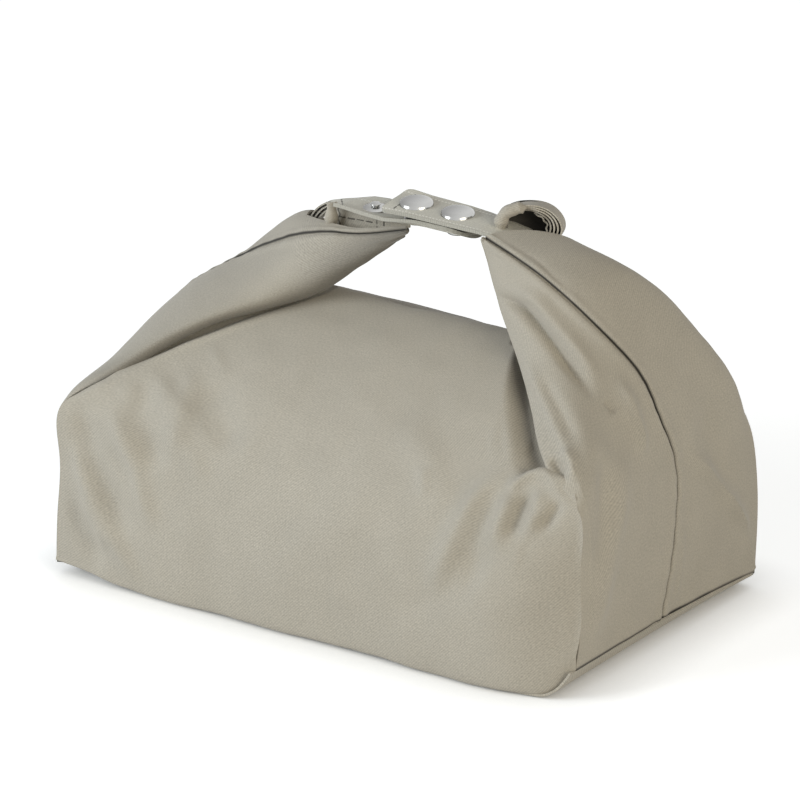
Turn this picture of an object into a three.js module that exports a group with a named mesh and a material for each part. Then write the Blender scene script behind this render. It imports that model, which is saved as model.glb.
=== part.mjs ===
// A roll-top insulated lunch bag: a soft box whose mouth is flattened, rolled and
// drawn up at both ends into two arms that snap together as a carrying handle.
// Millimetres, +Z up, +X to the right, +Y to the back. The origin is the middle of the base.
import * as THREE from 'three';
import { mergeVertices } from 'three/addons/utils/BufferGeometryUtils.js';

// Layers of the wall, from the outside in
const CLOTH = 1.0;
const FOAM = 2.6;
const LINING = 0.7;
const LAYER_GAP = 0.3;

// The tub that holds the food
const LENGTH = 240;
const DEPTH = 145;
const RIM_HEIGHT = 75;
const BELLY_HEIGHT = 26;
const CORNER_RADIUS = 14;
const BASE_EDGE_RADIUS = 5.5;
const BASE_TUCK = 1.5;
const END_TUCK = 3;
const FRONT_TUCK = 6;
const FOLD_GAP = 0.4;

// The roof panels over the tub, and the roll behind their crest
const CREST_HEIGHT = 120;
const CREST_SETBACK = 5;
const BACK_PANEL_HEIGHT = 106.3;
const BACK_PANEL_SETBACK = 22;
const ROOF_CROWN = 7;
const CREASE_GAP = 3;
const LEFT_CREASE_FOOT_INSET = 5;
const LEFT_CREASE_TOP_INSET = 85;
const RIGHT_CREASE_FOOT_INSET = 4;
const RIGHT_CREASE_TOP_INSET = 66;
const ROLL_LEFT_INSET = 59;
const ROLL_RIGHT_INSET = 51;
const ROLL_WIDTH = 24;
const ROLL_HEIGHT = 12;
const ROLL_TURNS = 2;
const ROLL_PITCH = 2.2;
const ROLL_CLOTH = 1.4;
const ROLL_SETBACK = 9.9;
const ROLL_LEVEL = 107;
const ARM_ROLL_WIDTH = 20;
const ARM_ROLL_HEIGHT = 11;
const LEFT_ROLL_WIDTH = 23;
const TIP_ROLL_WIDTH = 27;
const TIP_ROLL_HEIGHT = 15;

// The straps and their snap fasteners
const STRAP_WIDTH = 21;
const STRAP_CORNER = 2;
const RIGHT_STRAP_THICKNESS = 2.4;
const LEFT_STRAP_THICKNESS = 2.2;
const HANDLE_HEIGHT = 156.5;
const RIGHT_TIP_SHARE = 0.385;
const LEFT_TIP_SHARE = 0.376;
const STRAP_TUCK = 1.1;
const ROOT_TO_SNAP = 21.6;
const ROOT_TO_LEFT_STRAP = 12;
const SNAP_PITCH = 19.5;
const SNAP_TO_STRAP_END = 11;
const CAP_RADIUS = 7;
const CAP_HEIGHT = 1.7;
const CAP_EDGE = 0.6;
const SOCKET_RADIUS = 5.2;
const SOCKET_BORE_RADIUS = 3.5;
const SOCKET_HEIGHT = 1.9;
const SOCKET_WEB = 0.6;
const STUD_FLANGE_RADIUS = 5;
const STUD_FLANGE = 0.6;
const STUD_HEAD_RADIUS = 2.1;
const STUD_NECK_RADIUS = 1.6;
const STUD_HEIGHT = 2;
const SNAP_ENGAGEMENT = 0.9;
const RIVET_RADIUS = 4.5;
const RIVET_HEIGHT = 0.9;
const STEM_RADIUS = 1.6;
const STEM_CLEARANCE = 0.3;
const SEAT_GAP = 0.3;

const RIM_LENGTH = LENGTH / 2 - END_TUCK;
const RIM_DEPTH = DEPTH / 2 - FRONT_TUCK;
const FOAM_FACE = CLOTH + LAYER_GAP;
const FOAM_BACK = FOAM_FACE + FOAM;
const LINING_FACE = FOAM_BACK + LAYER_GAP;
const LINING_BACK = LINING_FACE + LINING;
const HOOD_LINING_FACE = CLOTH + LAYER_GAP;
const HOOD_LINING_BACK = HOOD_LINING_FACE + LINING;
const PANEL_FOOT = RIM_HEIGHT + FOLD_GAP;
const SNAP_LIFT = STUD_FLANGE + SEAT_GAP + STUD_HEIGHT - SNAP_ENGAGEMENT + SOCKET_HEIGHT + SEAT_GAP;
const LEFT_STRAP_BASE = HANDLE_HEIGHT - LEFT_STRAP_THICKNESS;
const RIGHT_STRAP_BASE = HANDLE_HEIGHT + SNAP_LIFT;
const RIGHT_STRAP_TOP = RIGHT_STRAP_BASE + RIGHT_STRAP_THICKNESS;
const RIGHT_STRAP_ROOT = RIM_LENGTH * RIGHT_TIP_SHARE + STRAP_TUCK;
const LEFT_STRAP_ROOT = -RIM_LENGTH * LEFT_TIP_SHARE - STRAP_TUCK;
const LEFT_STRAP_END = RIGHT_STRAP_ROOT - ROOT_TO_LEFT_STRAP;
const FIRST_SNAP = RIGHT_STRAP_ROOT - ROOT_TO_SNAP;
const RIGHT_STRAP_END = FIRST_SNAP - SNAP_PITCH - SNAP_TO_STRAP_END;
const ARM_RISE = RIGHT_STRAP_BASE - SEAT_GAP - PANEL_FOOT;
const STEM_HOLE_RADIUS = STEM_RADIUS + STEM_CLEARANCE;
const ROUND_SIDES = 16;

const greige = { color: 0xb1aa9c, roughness: 0.85, metalness: 0 };
const clothFinish = new THREE.MeshStandardMaterial(greige);
const strapFinish = new THREE.MeshStandardMaterial({ ...greige, color: 0xa6a297 });
const foamFinish = new THREE.MeshStandardMaterial({ color: 0xf2f2ee, roughness: 0.95, metalness: 0 });
const liningFinish = new THREE.MeshStandardMaterial({ color: 0xc4c6c8, roughness: 0.35, metalness: 0.6 });
const chromeFinish = new THREE.MeshStandardMaterial({ color: 0xdadada, roughness: 0.12, metalness: 1 });

const bag = new THREE.Group();
const point = (x, y, z) => new THREE.Vector3(x, y, z);
const mix = THREE.MathUtils.lerp;

function addPiece(name, geometry, finish) {
  const piece = new THREE.Mesh(geometry, finish);
  piece.name = name;
  bag.add(piece);
  return piece;
}

// A closed body from corner points and triangles, turned so that its faces point out
function closedBody(points, faces) {
  let volume = 0;
  for (const [a, b, c] of faces) {
    volume += points[a].dot(points[b].clone().cross(points[c]));
  }
  const index = faces.flatMap(([a, b, c]) => (volume > 0 ? [a, b, c] : [a, c, b]));
  const geometry = new THREE.BufferGeometry().setFromPoints(points);
  geometry.setIndex(index);
  geometry.computeVertexNormals();
  return geometry;
}

// A body between two faces that are given over the same 0..1 square
function slab(outer, inner, across, along) {
  const points = [];
  const faces = [];
  const row = across + 1;
  const layer = row * (along + 1);
  for (const face of [outer, inner]) {
    for (let j = 0; j <= along; j++) {
      for (let i = 0; i <= across; i++) {
        points.push(face(i / across, j / along));
      }
    }
  }
  for (let j = 0; j < along; j++) {
    for (let i = 0; i < across; i++) {
      const a = j * row + i;
      const b = a + 1;
      const c = b + row;
      const d = a + row;
      faces.push([a, b, c], [a, c, d]);
      faces.push([layer + a, layer + c, layer + b], [layer + a, layer + d, layer + c]);
    }
  }
  const border = [];
  for (let i = 0; i < across; i++) border.push(i);
  for (let j = 0; j < along; j++) border.push(j * row + across);
  for (let i = across; i > 0; i--) border.push(along * row + i);
  for (let j = along; j > 0; j--) border.push(j * row);
  border.forEach((p, k) => {
    const q = border[(k + 1) % border.length];
    faces.push([q, p, layer + p], [q, layer + p, layer + q]);
  });
  return closedBody(points, faces);
}

// The same face moved outwards (or, below zero, inwards) by an equal distance everywhere.
// Along its foot it moves level, so that the foot stays at the height of the fold.
function moved(face, distance, side) {
  const step = 1e-3;
  const levelStretch = 0.15;
  return (u, v) => {
    const u0 = Math.max(0, u - step);
    const v0 = Math.max(0, v - step);
    const across = face(Math.min(1, u + step), v).sub(face(u0, v));
    const along = face(u, Math.min(1, v + step)).sub(face(u, v0));
    const normal = across.cross(along).normalize();
    normal.z *= Math.min(1, v / levelStretch);
    return face(u, v).addScaledVector(normal.normalize(), side * distance);
  };
}

function layer(face, side, from, to, across, along) {
  return slab(moved(face, -from, side), moved(face, -to, side), across, along);
}

// A body lofted through a chain of closed loops, with both ends closed by the given triangles
function loft(loops, startFaces, endFaces) {
  const count = loops[0].length;
  const faces = [];
  for (let k = 0; k + 1 < loops.length; k++) {
    for (let i = 0; i < count; i++) {
      const next = (i + 1) % count;
      const a = k * count + i;
      const b = k * count + next;
      faces.push([a, b, b + count], [a, b + count, a + count]);
    }
  }
  const last = (loops.length - 1) * count;
  for (const [a, b, c] of startFaces) faces.push([a, c, b]);
  for (const [a, b, c] of endFaces) faces.push([last + a, last + b, last + c]);
  return closedBody(loops.flat(), faces);
}

function revolved(profile, x, z) {
  const outline = profile.map(([radius, height]) => new THREE.Vector2(radius, height));
  const turned = new THREE.LatheGeometry(outline, ROUND_SIDES).rotateX(Math.PI / 2).translate(x, 0, z);
  turned.deleteAttribute('normal');
  turned.deleteAttribute('uv');
  const merged = mergeVertices(turned, 1e-3);
  const place = merged.getAttribute('position');
  const points = [];
  for (let i = 0; i < place.count; i++) points.push(point().fromBufferAttribute(place, i));
  const order = merged.getIndex().array;
  const faces = [];
  for (let i = 0; i < order.length; i += 3) {
    const [a, b, c] = order.slice(i, i + 3);
    if (a !== b && b !== c && c !== a) faces.push([a, b, c]);
  }
  return closedBody(points, faces);
}

// Tub: rounded box loops, each wall layer at its own depth below the outer face

function wallTuck(height, topTuck) {
  if (height > BELLY_HEIGHT) return topTuck * ((height - BELLY_HEIGHT) / (RIM_HEIGHT - BELLY_HEIGHT)) ** 2;
  return BASE_TUCK * ((BELLY_HEIGHT - height) / BELLY_HEIGHT) ** 2;
}

const endFace = (height, depth) => LENGTH / 2 - wallTuck(height, END_TUCK) - depth;
const frontFace = (height, depth) => DEPTH / 2 - wallTuck(height, FRONT_TUCK) - depth;

function roundedLoop(halfLength, halfDepth, radius, height) {
  const arcSteps = 5;
  const sideSteps = [6, 4];
  const loop = [];
  const corners = [[1, -1], [1, 1], [-1, 1], [-1, -1]];
  corners.forEach(([sx, sy], k) => {
    const centre = [sx * (halfLength - radius), sy * (halfDepth - radius)];
    const start = (k - 1) * Math.PI / 2;
    for (let i = 0; i <= arcSteps; i++) {
      const angle = start + (i / arcSteps) * (Math.PI / 2);
      loop.push(point(centre[0] + radius * Math.cos(angle), centre[1] + radius * Math.sin(angle), height));
    }
    const [nx, ny] = corners[(k + 1) % corners.length];
    const from = loop[loop.length - 1];
    const angle = start + Math.PI / 2;
    const to = point(nx * (halfLength - radius), ny * (halfDepth - radius), height);
    to.x += radius * Math.cos(angle);
    to.y += radius * Math.sin(angle);
    const steps = sideSteps[(k + 1) % 2];
    for (let i = 1; i < steps; i++) loop.push(from.clone().lerp(to, i / steps));
  });
  return loop;
}

function tubLoops(depth) {
  const loops = [];
  const edgeSteps = 3;
  const edge = BASE_EDGE_RADIUS;
  for (let i = 0; i <= edgeSteps; i++) {
    const angle = (i / edgeSteps) * (Math.PI / 2);
    const inset = edge - (edge - depth) * Math.sin(angle);
    const height = edge - (edge - depth) * Math.cos(angle);
    loops.push(tubLoop(height, inset));
  }
  const wallSteps = 4;
  for (let i = 1; i <= wallSteps; i++) loops.push(tubLoop(mix(edge, RIM_HEIGHT, i / wallSteps), depth));
  return loops;
}

function tubLoop(height, inset) {
  return roundedLoop(endFace(height, inset), frontFace(height, inset), CORNER_RADIUS - inset, height);
}

function tub(faceDepth, backDepth) {
  const loops = [...tubLoops(faceDepth), ...tubLoops(backDepth).reverse()];
  const floor = THREE.ShapeUtils.triangulateShape(loops[0].map((p) => new THREE.Vector2(p.x, p.y)), []);
  return loft(loops, floor, floor);
}

addPiece('outer_tub', tub(0, CLOTH), clothFinish);
addPiece('lining_tub', tub(LINING_FACE, LINING_BACK), liningFinish);

function foamWall(name, wall) {
  const face = (depth) => (u, v) => wall(u, mix(BASE_EDGE_RADIUS, RIM_HEIGHT, v), depth);
  addPiece(name, slab(face(FOAM_FACE), face(FOAM_BACK), 2, 5), foamFinish);
}

const frontReach = RIM_LENGTH - CORNER_RADIUS;
const endReach = RIM_DEPTH - CORNER_RADIUS;
const alongFront = (u) => mix(-frontReach, frontReach, u);
const alongEnd = (u) => mix(-endReach, endReach, u);
foamWall('foam_front', (u, height, depth) => point(alongFront(u), -frontFace(height, depth), height));
foamWall('foam_back', (u, height, depth) => point(alongFront(u), frontFace(height, depth), height));
foamWall('foam_left', (u, height, depth) => point(-endFace(height, depth), alongEnd(u), height));
foamWall('foam_right', (u, height, depth) => point(endFace(height, depth), alongEnd(u), height));

const baseLoop = (height) => roundedLoop(
  endFace(0, BASE_EDGE_RADIUS), frontFace(0, BASE_EDGE_RADIUS), CORNER_RADIUS - BASE_EDGE_RADIUS, height);
const baseLoops = [baseLoop(FOAM_FACE), baseLoop(FOAM_BACK)];
const basePlan = baseLoops[0].map((p) => new THREE.Vector2(p.x, p.y));
const baseFaces = THREE.ShapeUtils.triangulateShape(basePlan, []);
addPiece('foam_base', loft(baseLoops, baseFaces, baseFaces), foamFinish);

// Roof panels: each rises from the rim to the crest, between the creases of the two arms

function roofPanel(side, topSetback, topHeight) {
  return (u, v) => {
    const left = mix(LEFT_CREASE_FOOT_INSET, LEFT_CREASE_TOP_INSET, v) + CREASE_GAP - RIM_LENGTH;
    const right = RIM_LENGTH - mix(RIGHT_CREASE_FOOT_INSET, RIGHT_CREASE_TOP_INSET, v) - CREASE_GAP;
    const crown = ROOF_CROWN * Math.sin(Math.PI * v) * (1 - (2 * u - 1) ** 4);
    const slope = Math.atan2(topHeight - PANEL_FOOT, RIM_DEPTH - topSetback);
    const out = mix(RIM_DEPTH, topSetback, v) + crown * Math.sin(slope);
    return point(mix(left, right, u), side * out, mix(PANEL_FOOT, topHeight, v) + crown * Math.cos(slope));
  };
}

function roofLayers(name, face, side) {
  const across = 8;
  const along = 6;
  addPiece(name + '_outer', layer(face, side, 0, CLOTH, across, along), clothFinish);
  addPiece(name + '_foam', layer(face, side, FOAM_FACE, FOAM_BACK, across, along), foamFinish);
  addPiece(name + '_lining', layer(face, side, LINING_FACE, LINING_BACK, across, along), liningFinish);
}

roofLayers('front_flap', roofPanel(-1, CREST_SETBACK, CREST_HEIGHT), 1);
roofLayers('back_flap', roofPanel(1, BACK_PANEL_SETBACK, BACK_PANEL_HEIGHT), -1);

// Rolled mouth: a flattened spiral of doubled cloth, swept along a path

function spiralOutline(width, height) {
  const stepsPerTurn = 14;
  const steps = Math.round(ROLL_TURNS * stepsPerTurn);
  const outside = [];
  const inside = [];
  for (let i = 0; i <= steps; i++) {
    const angle = (i / stepsPerTurn) * 2 * Math.PI;
    const wound = ROLL_PITCH * (i / stepsPerTurn);
    const half = (size, grow) => size / 2 - ROLL_CLOTH / 2 - wound + grow;
    const place = (grow) => new THREE.Vector2(
      half(width, grow) * Math.cos(angle), half(height, grow) * Math.sin(angle));
    outside.push(place(ROLL_CLOTH / 2));
    inside.push(place(-ROLL_CLOTH / 2));
  }
  return [...outside, ...inside.reverse()];
}

function roll(stations) {
  const loops = stations.map(({ at, width, height, wide, tall }) =>
    spiralOutline(width, height).map((p) =>
      at.clone().addScaledVector(wide, p.x).addScaledVector(tall, p.y)));
  const [first] = stations;
  const ends = THREE.ShapeUtils.triangulateShape(spiralOutline(first.width, first.height), []);
  return loft(loops, ends, ends);
}

function station(width, height, at, across, along) {
  const tall = along.clone().cross(across).normalize();
  const wide = tall.clone().cross(along).normalize();
  return { width, height, at, wide, tall };
}

const rollEnds = [ROLL_LEFT_INSET - RIM_LENGTH, RIM_LENGTH - ROLL_RIGHT_INSET];
const rollAxis = point(1, 0, 0);
const rollWide = point(0, 1, 0);
addPiece('mouth_roll', roll(rollEnds.map((x) =>
  station(ROLL_WIDTH, ROLL_HEIGHT, point(x, ROLL_SETBACK, ROLL_LEVEL), rollWide, rollAxis))), clothFinish);

// Arms: hoods lofted over five rails, from the front crease over the end seam to the back crease

function hood(rails) {
  const curves = rails.map((rail) => new THREE.CatmullRomCurve3(rail));
  return (u, v) => new THREE.CatmullRomCurve3(curves.map((curve) => curve.getPoint(v))).getPoint(u);
}

const CORNER_X = RIM_LENGTH - CORNER_RADIUS * (1 - Math.SQRT1_2);
const CORNER_Y = RIM_DEPTH - CORNER_RADIUS * (1 - Math.SQRT1_2);
const SHOULDER_Y = RIM_DEPTH - CORNER_RADIUS;

// A place over the tub: shares of the rim's half length and half depth, and of the rise to the handle
const over = (along, back, rise) =>
  point(RIM_LENGTH * along, RIM_DEPTH * back, PANEL_FOOT + ARM_RISE * rise);

// Where a rail starts: the rim at one end of the tub, from its front corner to its back corner
const rimStarts = (end) => [
  point(end * CORNER_X, -CORNER_Y, PANEL_FOOT),
  point(end * RIM_LENGTH, -SHOULDER_Y, PANEL_FOOT),
  point(end * RIM_LENGTH, 0, PANEL_FOOT),
  point(end * RIM_LENGTH, SHOULDER_Y, PANEL_FOOT),
  point(end * CORNER_X, CORNER_Y, PANEL_FOOT),
];

const rightRises = [
  [over(0.83, -0.75, 0.22), over(0.605, -0.385, 0.46), over(0.453, -0.224, 0.713),
    over(RIGHT_TIP_SHARE, -0.17, 1)],
  [over(0.92, -0.6, 0.26), over(0.71, -0.37, 0.52), over(0.515, -0.255, 0.77), over(0.395, -0.155, 1)],
  [over(0.99, 0.06, 0.3), over(0.896, -0.087, 0.588), over(0.673, -0.215, 0.87), over(0.421, -0.124, 1)],
  [over(0.994, 0.754, 0.273), over(0.908, 0.525, 0.621), over(0.76, 0.223, 0.897), over(0.605, 0.15, 0.94)],
  [over(0.85, 0.85, 0.185), over(0.66, 0.58, 0.4), over(0.59, 0.44, 0.68), over(0.575, 0.33, 0.87)],
];

const leftRises = [
  [over(-0.68, -0.62, 0.26), over(-0.3, -0.18, 0.56), over(-0.1, -0.21, 0.71), over(0.085, -0.21, 0.94)],
  [over(-0.84, -0.63, 0.28), over(-0.53, -0.36, 0.57), over(-0.32, -0.27, 0.74), over(-0.13, -0.226, 0.9)],
  [over(-0.91, 0, 0.26), over(-0.68, 0.03, 0.53), over(-0.52, 0, 0.74), over(-0.325, -0.233, 0.88)],
  [over(-0.9, 0.72, 0.26), over(-0.72, 0.6, 0.51), over(-0.55, 0.33, 0.72), over(-0.4, 0, 0.92)],
  [over(-0.72, 0.75, 0.24), over(-0.48, 0.51, 0.48), over(-0.4, 0.39, 0.65),
    over(-LEFT_TIP_SHARE, 0.226, 0.885)],
];

const risingFrom = (starts, rises) => starts.map((start, k) => [start, ...rises[k]]);

function arm(name, rails, side) {
  const across = 12;
  const along = 10;
  const face = hood(rails);
  addPiece(name + '_outer', layer(face, side, 0, CLOTH, across, along), clothFinish);
  const inside = layer(face, side, HOOD_LINING_FACE, HOOD_LINING_BACK, across, along);
  addPiece(name + '_lining', inside, liningFinish);
}

arm('left_arm', risingFrom(rimStarts(-1), leftRises), -1);
arm('right_arm', risingFrom(rimStarts(1), rightRises), 1);

const armRoll = (at, across, along) => station(ARM_ROLL_WIDTH, ARM_ROLL_HEIGHT, at, across, along);
const leftRoll = (at, along) => station(LEFT_ROLL_WIDTH, ARM_ROLL_HEIGHT, at, point(0, 1, 0), along);
const tipRoll = (at, across, along) => station(TIP_ROLL_WIDTH, TIP_ROLL_HEIGHT, at, across, along);
addPiece('right_roll', roll([
  armRoll(over(0.65, 0.18, 0.48), point(0, 1, 0), point(0.3, 0, 1)),
  armRoll(over(0.575, 0.18, 0.7), point(0.3, 1, 0), point(-0.4, 0, 1)),
  armRoll(over(0.493, 0.185, 0.873), point(0.7, 0.7, 0), point(-0.2, -0.2, 1)),
  tipRoll(over(0.492, 0.069, 1.046), point(0.78, 0.62, 0), point(0.45, -0.57, 0.6)),
]), clothFinish);
addPiece('left_roll', roll([
  leftRoll(over(-0.54, 0.225, 0.48), point(0.1, 0, 1)),
  leftRoll(over(-0.48, 0.175, 0.626), point(0.6, 0, 1)),
  leftRoll(over(-0.359, 0.105, 0.764), point(0.8, 0, 1)),
]), clothFinish);

// Straps with their snap fasteners

function strap(from, to, base, thickness, snaps) {
  const half = STRAP_WIDTH / 2;
  const r = STRAP_CORNER;
  const plan = new THREE.Shape();
  plan.moveTo(from + r, -half);
  plan.lineTo(to - r, -half);
  plan.absarc(to - r, -half + r, r, -Math.PI / 2, 0);
  plan.absarc(to - r, half - r, r, 0, Math.PI / 2);
  plan.lineTo(from + r, half);
  plan.absarc(from + r, half - r, r, Math.PI / 2, Math.PI);
  plan.absarc(from + r, -half + r, r, Math.PI, 1.5 * Math.PI);
  for (const x of snaps) plan.holes.push(new THREE.Path().absarc(x, 0, STEM_HOLE_RADIUS, 0, 2 * Math.PI));
  const solid = new THREE.ExtrudeGeometry(plan, { depth: thickness, bevelEnabled: false, curveSegments: 4 });
  return solid.translate(0, 0, base);
}

const capPlaces = [FIRST_SNAP, FIRST_SNAP - SNAP_PITCH];
const studPlaces = [...capPlaces, FIRST_SNAP - 2 * SNAP_PITCH];
addPiece('right_strap', strap(RIGHT_STRAP_END, RIGHT_STRAP_ROOT, RIGHT_STRAP_BASE, RIGHT_STRAP_THICKNESS,
  capPlaces), strapFinish);
addPiece('left_strap', strap(LEFT_STRAP_ROOT, LEFT_STRAP_END, LEFT_STRAP_BASE, LEFT_STRAP_THICKNESS,
  studPlaces), strapFinish);

capPlaces.forEach((x, k) => {
  const crownFoot = RIGHT_STRAP_TOP + SEAT_GAP;
  addPiece('right_snap_cap_' + (k + 1), revolved([
    [0, RIGHT_STRAP_BASE - crownFoot],
    [STEM_RADIUS, RIGHT_STRAP_BASE - crownFoot],
    [STEM_RADIUS, 0],
    [CAP_RADIUS - CAP_EDGE, 0],
    [CAP_RADIUS, CAP_EDGE],
    [CAP_RADIUS - CAP_EDGE, CAP_HEIGHT - CAP_EDGE / 2],
    [CAP_RADIUS - 2 * CAP_EDGE, CAP_HEIGHT],
    [0, CAP_HEIGHT],
  ], x, crownFoot), chromeFinish);
  addPiece('right_snap_socket_' + (k + 1), revolved([
    [0, SOCKET_HEIGHT - SOCKET_WEB],
    [SOCKET_BORE_RADIUS, SOCKET_HEIGHT - SOCKET_WEB],
    [SOCKET_BORE_RADIUS, 0],
    [SOCKET_RADIUS, 0],
    [SOCKET_RADIUS, SOCKET_HEIGHT],
    [0, SOCKET_HEIGHT],
  ], x, RIGHT_STRAP_BASE - SEAT_GAP - SOCKET_HEIGHT), chromeFinish);
});

studPlaces.forEach((x, k) => {
  addPiece('left_snap_stud_' + (k + 1), revolved([
    [0, 0],
    [STUD_FLANGE_RADIUS, 0],
    [STUD_FLANGE_RADIUS, STUD_FLANGE],
    [STUD_NECK_RADIUS, STUD_FLANGE],
    [STUD_HEAD_RADIUS, (STUD_FLANGE + STUD_FLANGE + STUD_HEIGHT) / 2],
    [STUD_NECK_RADIUS, STUD_FLANGE + STUD_HEIGHT],
    [0, STUD_FLANGE + STUD_HEIGHT],
  ], x, HANDLE_HEIGHT + SEAT_GAP), chromeFinish);
  addPiece('left_snap_rivet_' + (k + 1), revolved([
    [0, 0],
    [RIVET_RADIUS - CAP_EDGE, 0],
    [RIVET_RADIUS, RIVET_HEIGHT],
    [STEM_RADIUS, RIVET_HEIGHT],
    [STEM_RADIUS, RIVET_HEIGHT + SEAT_GAP + LEFT_STRAP_THICKNESS],
    [0, RIVET_HEIGHT + SEAT_GAP + LEFT_STRAP_THICKNESS],
  ], x, LEFT_STRAP_BASE - SEAT_GAP - RIVET_HEIGHT), chromeFinish);
});

export default bag;
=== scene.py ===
"""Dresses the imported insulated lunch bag: cloth, lining, foam, rolled mouth, straps, snaps and stage."""
import math

import bmesh
import bpy
import numpy as np
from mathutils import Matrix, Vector, noise


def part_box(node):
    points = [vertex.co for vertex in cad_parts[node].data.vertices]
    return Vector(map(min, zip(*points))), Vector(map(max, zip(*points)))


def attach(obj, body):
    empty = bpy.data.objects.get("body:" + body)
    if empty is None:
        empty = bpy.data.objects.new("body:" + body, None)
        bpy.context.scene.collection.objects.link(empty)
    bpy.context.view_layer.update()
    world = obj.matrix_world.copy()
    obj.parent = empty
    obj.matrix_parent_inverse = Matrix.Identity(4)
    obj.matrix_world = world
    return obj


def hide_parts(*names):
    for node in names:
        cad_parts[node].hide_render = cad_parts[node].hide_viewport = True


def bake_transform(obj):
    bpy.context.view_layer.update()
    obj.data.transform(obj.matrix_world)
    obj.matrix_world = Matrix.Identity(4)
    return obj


bl_info = {
    "name": "Insulated lunch bag",
    "version": (1, 0, 0),
    "blender": (4, 5, 0),
    "location": "View3D > Sidebar > Lunch Bag",
    "description": "Makes the cloth, lining, straps and snaps of a roll-top lunch bag",
    "category": "Object",
}

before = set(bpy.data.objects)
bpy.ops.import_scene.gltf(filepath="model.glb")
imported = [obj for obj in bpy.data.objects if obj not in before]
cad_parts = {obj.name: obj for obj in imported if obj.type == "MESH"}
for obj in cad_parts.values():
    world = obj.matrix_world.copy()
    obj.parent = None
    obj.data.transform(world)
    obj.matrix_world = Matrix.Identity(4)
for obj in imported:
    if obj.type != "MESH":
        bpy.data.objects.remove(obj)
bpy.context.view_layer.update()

# Millimetres unless metres are named; in the shared frame X is to the right, Y to the back and Z up.
MM = 0.001

# Profiles of the front and back panels as (Y, Z), from under the base, up the wall and over the roof, and
# runs of rows along them as first place, last place and count.
FRONT_PROFILE = (
    (-46, 0.4), (-60, 0.4), (-69, 0.5), (-72.6, 1.9), (-74, 5), (-75, 14), (-75.4, 28), (-74.3, 45),
    (-71, 61), (-65.5, 75), (-56.5, 87.5), (-45.5, 98.5), (-33.5, 107.5), (-21, 114.2), (-10, 118.3),
    (-4, 119.4), (1, 118.6), (4, 115.6), (5.5, 111))
BACK_PROFILE = (
    (46, 0.4), (60, 0.4), (69, 0.5), (72.6, 1.9), (74, 5), (75, 14), (75.4, 28), (74.3, 45), (71, 61),
    (65, 75), (57, 86), (46, 96), (34, 103), (24, 106.5))
FRONT_ROWS = ((0, 5, 22), (5, 9, 34), (9, 12, 52), (12, 14, 20), (14, 18, 26))
BACK_ROWS = ((0, 5, 18), (5, 13, 66))
FRONT_COLUMNS = 168
BACK_COLUMNS = 130
CREST_PLACE = 14
FLANGE_PLACE = 2.5
FLANGE_X = (-111, 112)

# Sides of the panels above the ends' own folds, as heights and the X there, and the lines under which the
# panels tuck.
FRONT_LEFT_TOP = ((73.6, 80, 86, 92, 99.5, 111.2, 119.5), (-118, -110, -101.5, -95, -88, -67, -46))
FRONT_RIGHT_TOP = ((80, 89, 93, 99, 106, 113, 119.5), (119.5, 116, 110, 102, 93, 84, 74))
BACK_LEFT_TOP = ((73, 80, 86, 98, 106), (-117.5, -113, -104, -82, -64))
BACK_RIGHT_TOP = ((72, 80, 86, 98, 106), (117, 114, 109, 96, 82))
FRONT_LEFT_FOLD = ((74, 86, 99.5, 111.2, 119.6), (-117, -96, -76, -53, -31))
BACK_LEFT_FOLD = ((73, 85, 98, 110), (117.5, 100, 78, 60))
BACK_RIGHT_FOLD = ((72, 86, 102, 114), (118, 106, 88, 74))

# Rails of the right end and arm, one row for each station from the base seam to the hem. In each row the
# places run from the fold on the front, over the crease beside it and the side seam, to the fold at the
# back.
RIGHT_NET = (
    ((120, -60, 12), (120, -54, 12), (119.6, -30, 11.5), (118.8, 4, 10.6), (119, 38, 9), (119.3, 56, 7.5),
     (119.5, 72, 6)),
    ((120.8, -57.5, 32), (121.2, -51, 31.9), (121, -26, 31), (120, 7.5, 30), (120.5, 38, 30), (120.5, 56, 30),
     (120, 72.5, 30)),
    ((120.5, -57.5, 58), (121.2, -51, 58), (121, -22, 58), (120, 13, 58), (120.5, 40, 56), (120.3, 57, 54),
     (119.5, 72, 52)),
    ((119.5, -58.5, 80), (120.6, -55, 81.5), (119.8, -24, 80), (118.8, 12, 79), (119.5, 40, 76),
     (118.8, 60, 75), (117, 69.5, 72)),
    ((104, -54.5, 90.3), (113, -50, 94.5), (116, -28, 94), (117, 6, 95), (117.5, 38, 93), (117.2, 60, 90),
     (109, 66, 84)),
    ((82.4, -36, 105.6), (91, -37.5, 110.5), (103, -25, 113), (111, -1, 115.5), (111.5, 28, 116),
     (108.5, 48, 113.5), (88, 46, 102)),
    ((64.5, -21, 120.5), (70.5, -23.6, 122.6), (86, -20, 129.5), (99, -9, 132), (102, 14, 136), (99, 36, 133),
     (74, 36, 114)),
    ((52, -14.5, 138), (55.4, -16.8, 140.2), (65, -17.5, 146.5), (76, -14.5, 151), (84, 2, 154),
     (86, 20, 150), (69, 29, 134)),
    ((43.4, -11.2, 160.2), (43.5, -11.6, 160.6), (43.9, -11.8, 161.1), (44.6, -11.4, 161.8), (54.5, 0, 163.2),
     (68.5, 12, 159.2), (70, 22, 150)),
)
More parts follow.
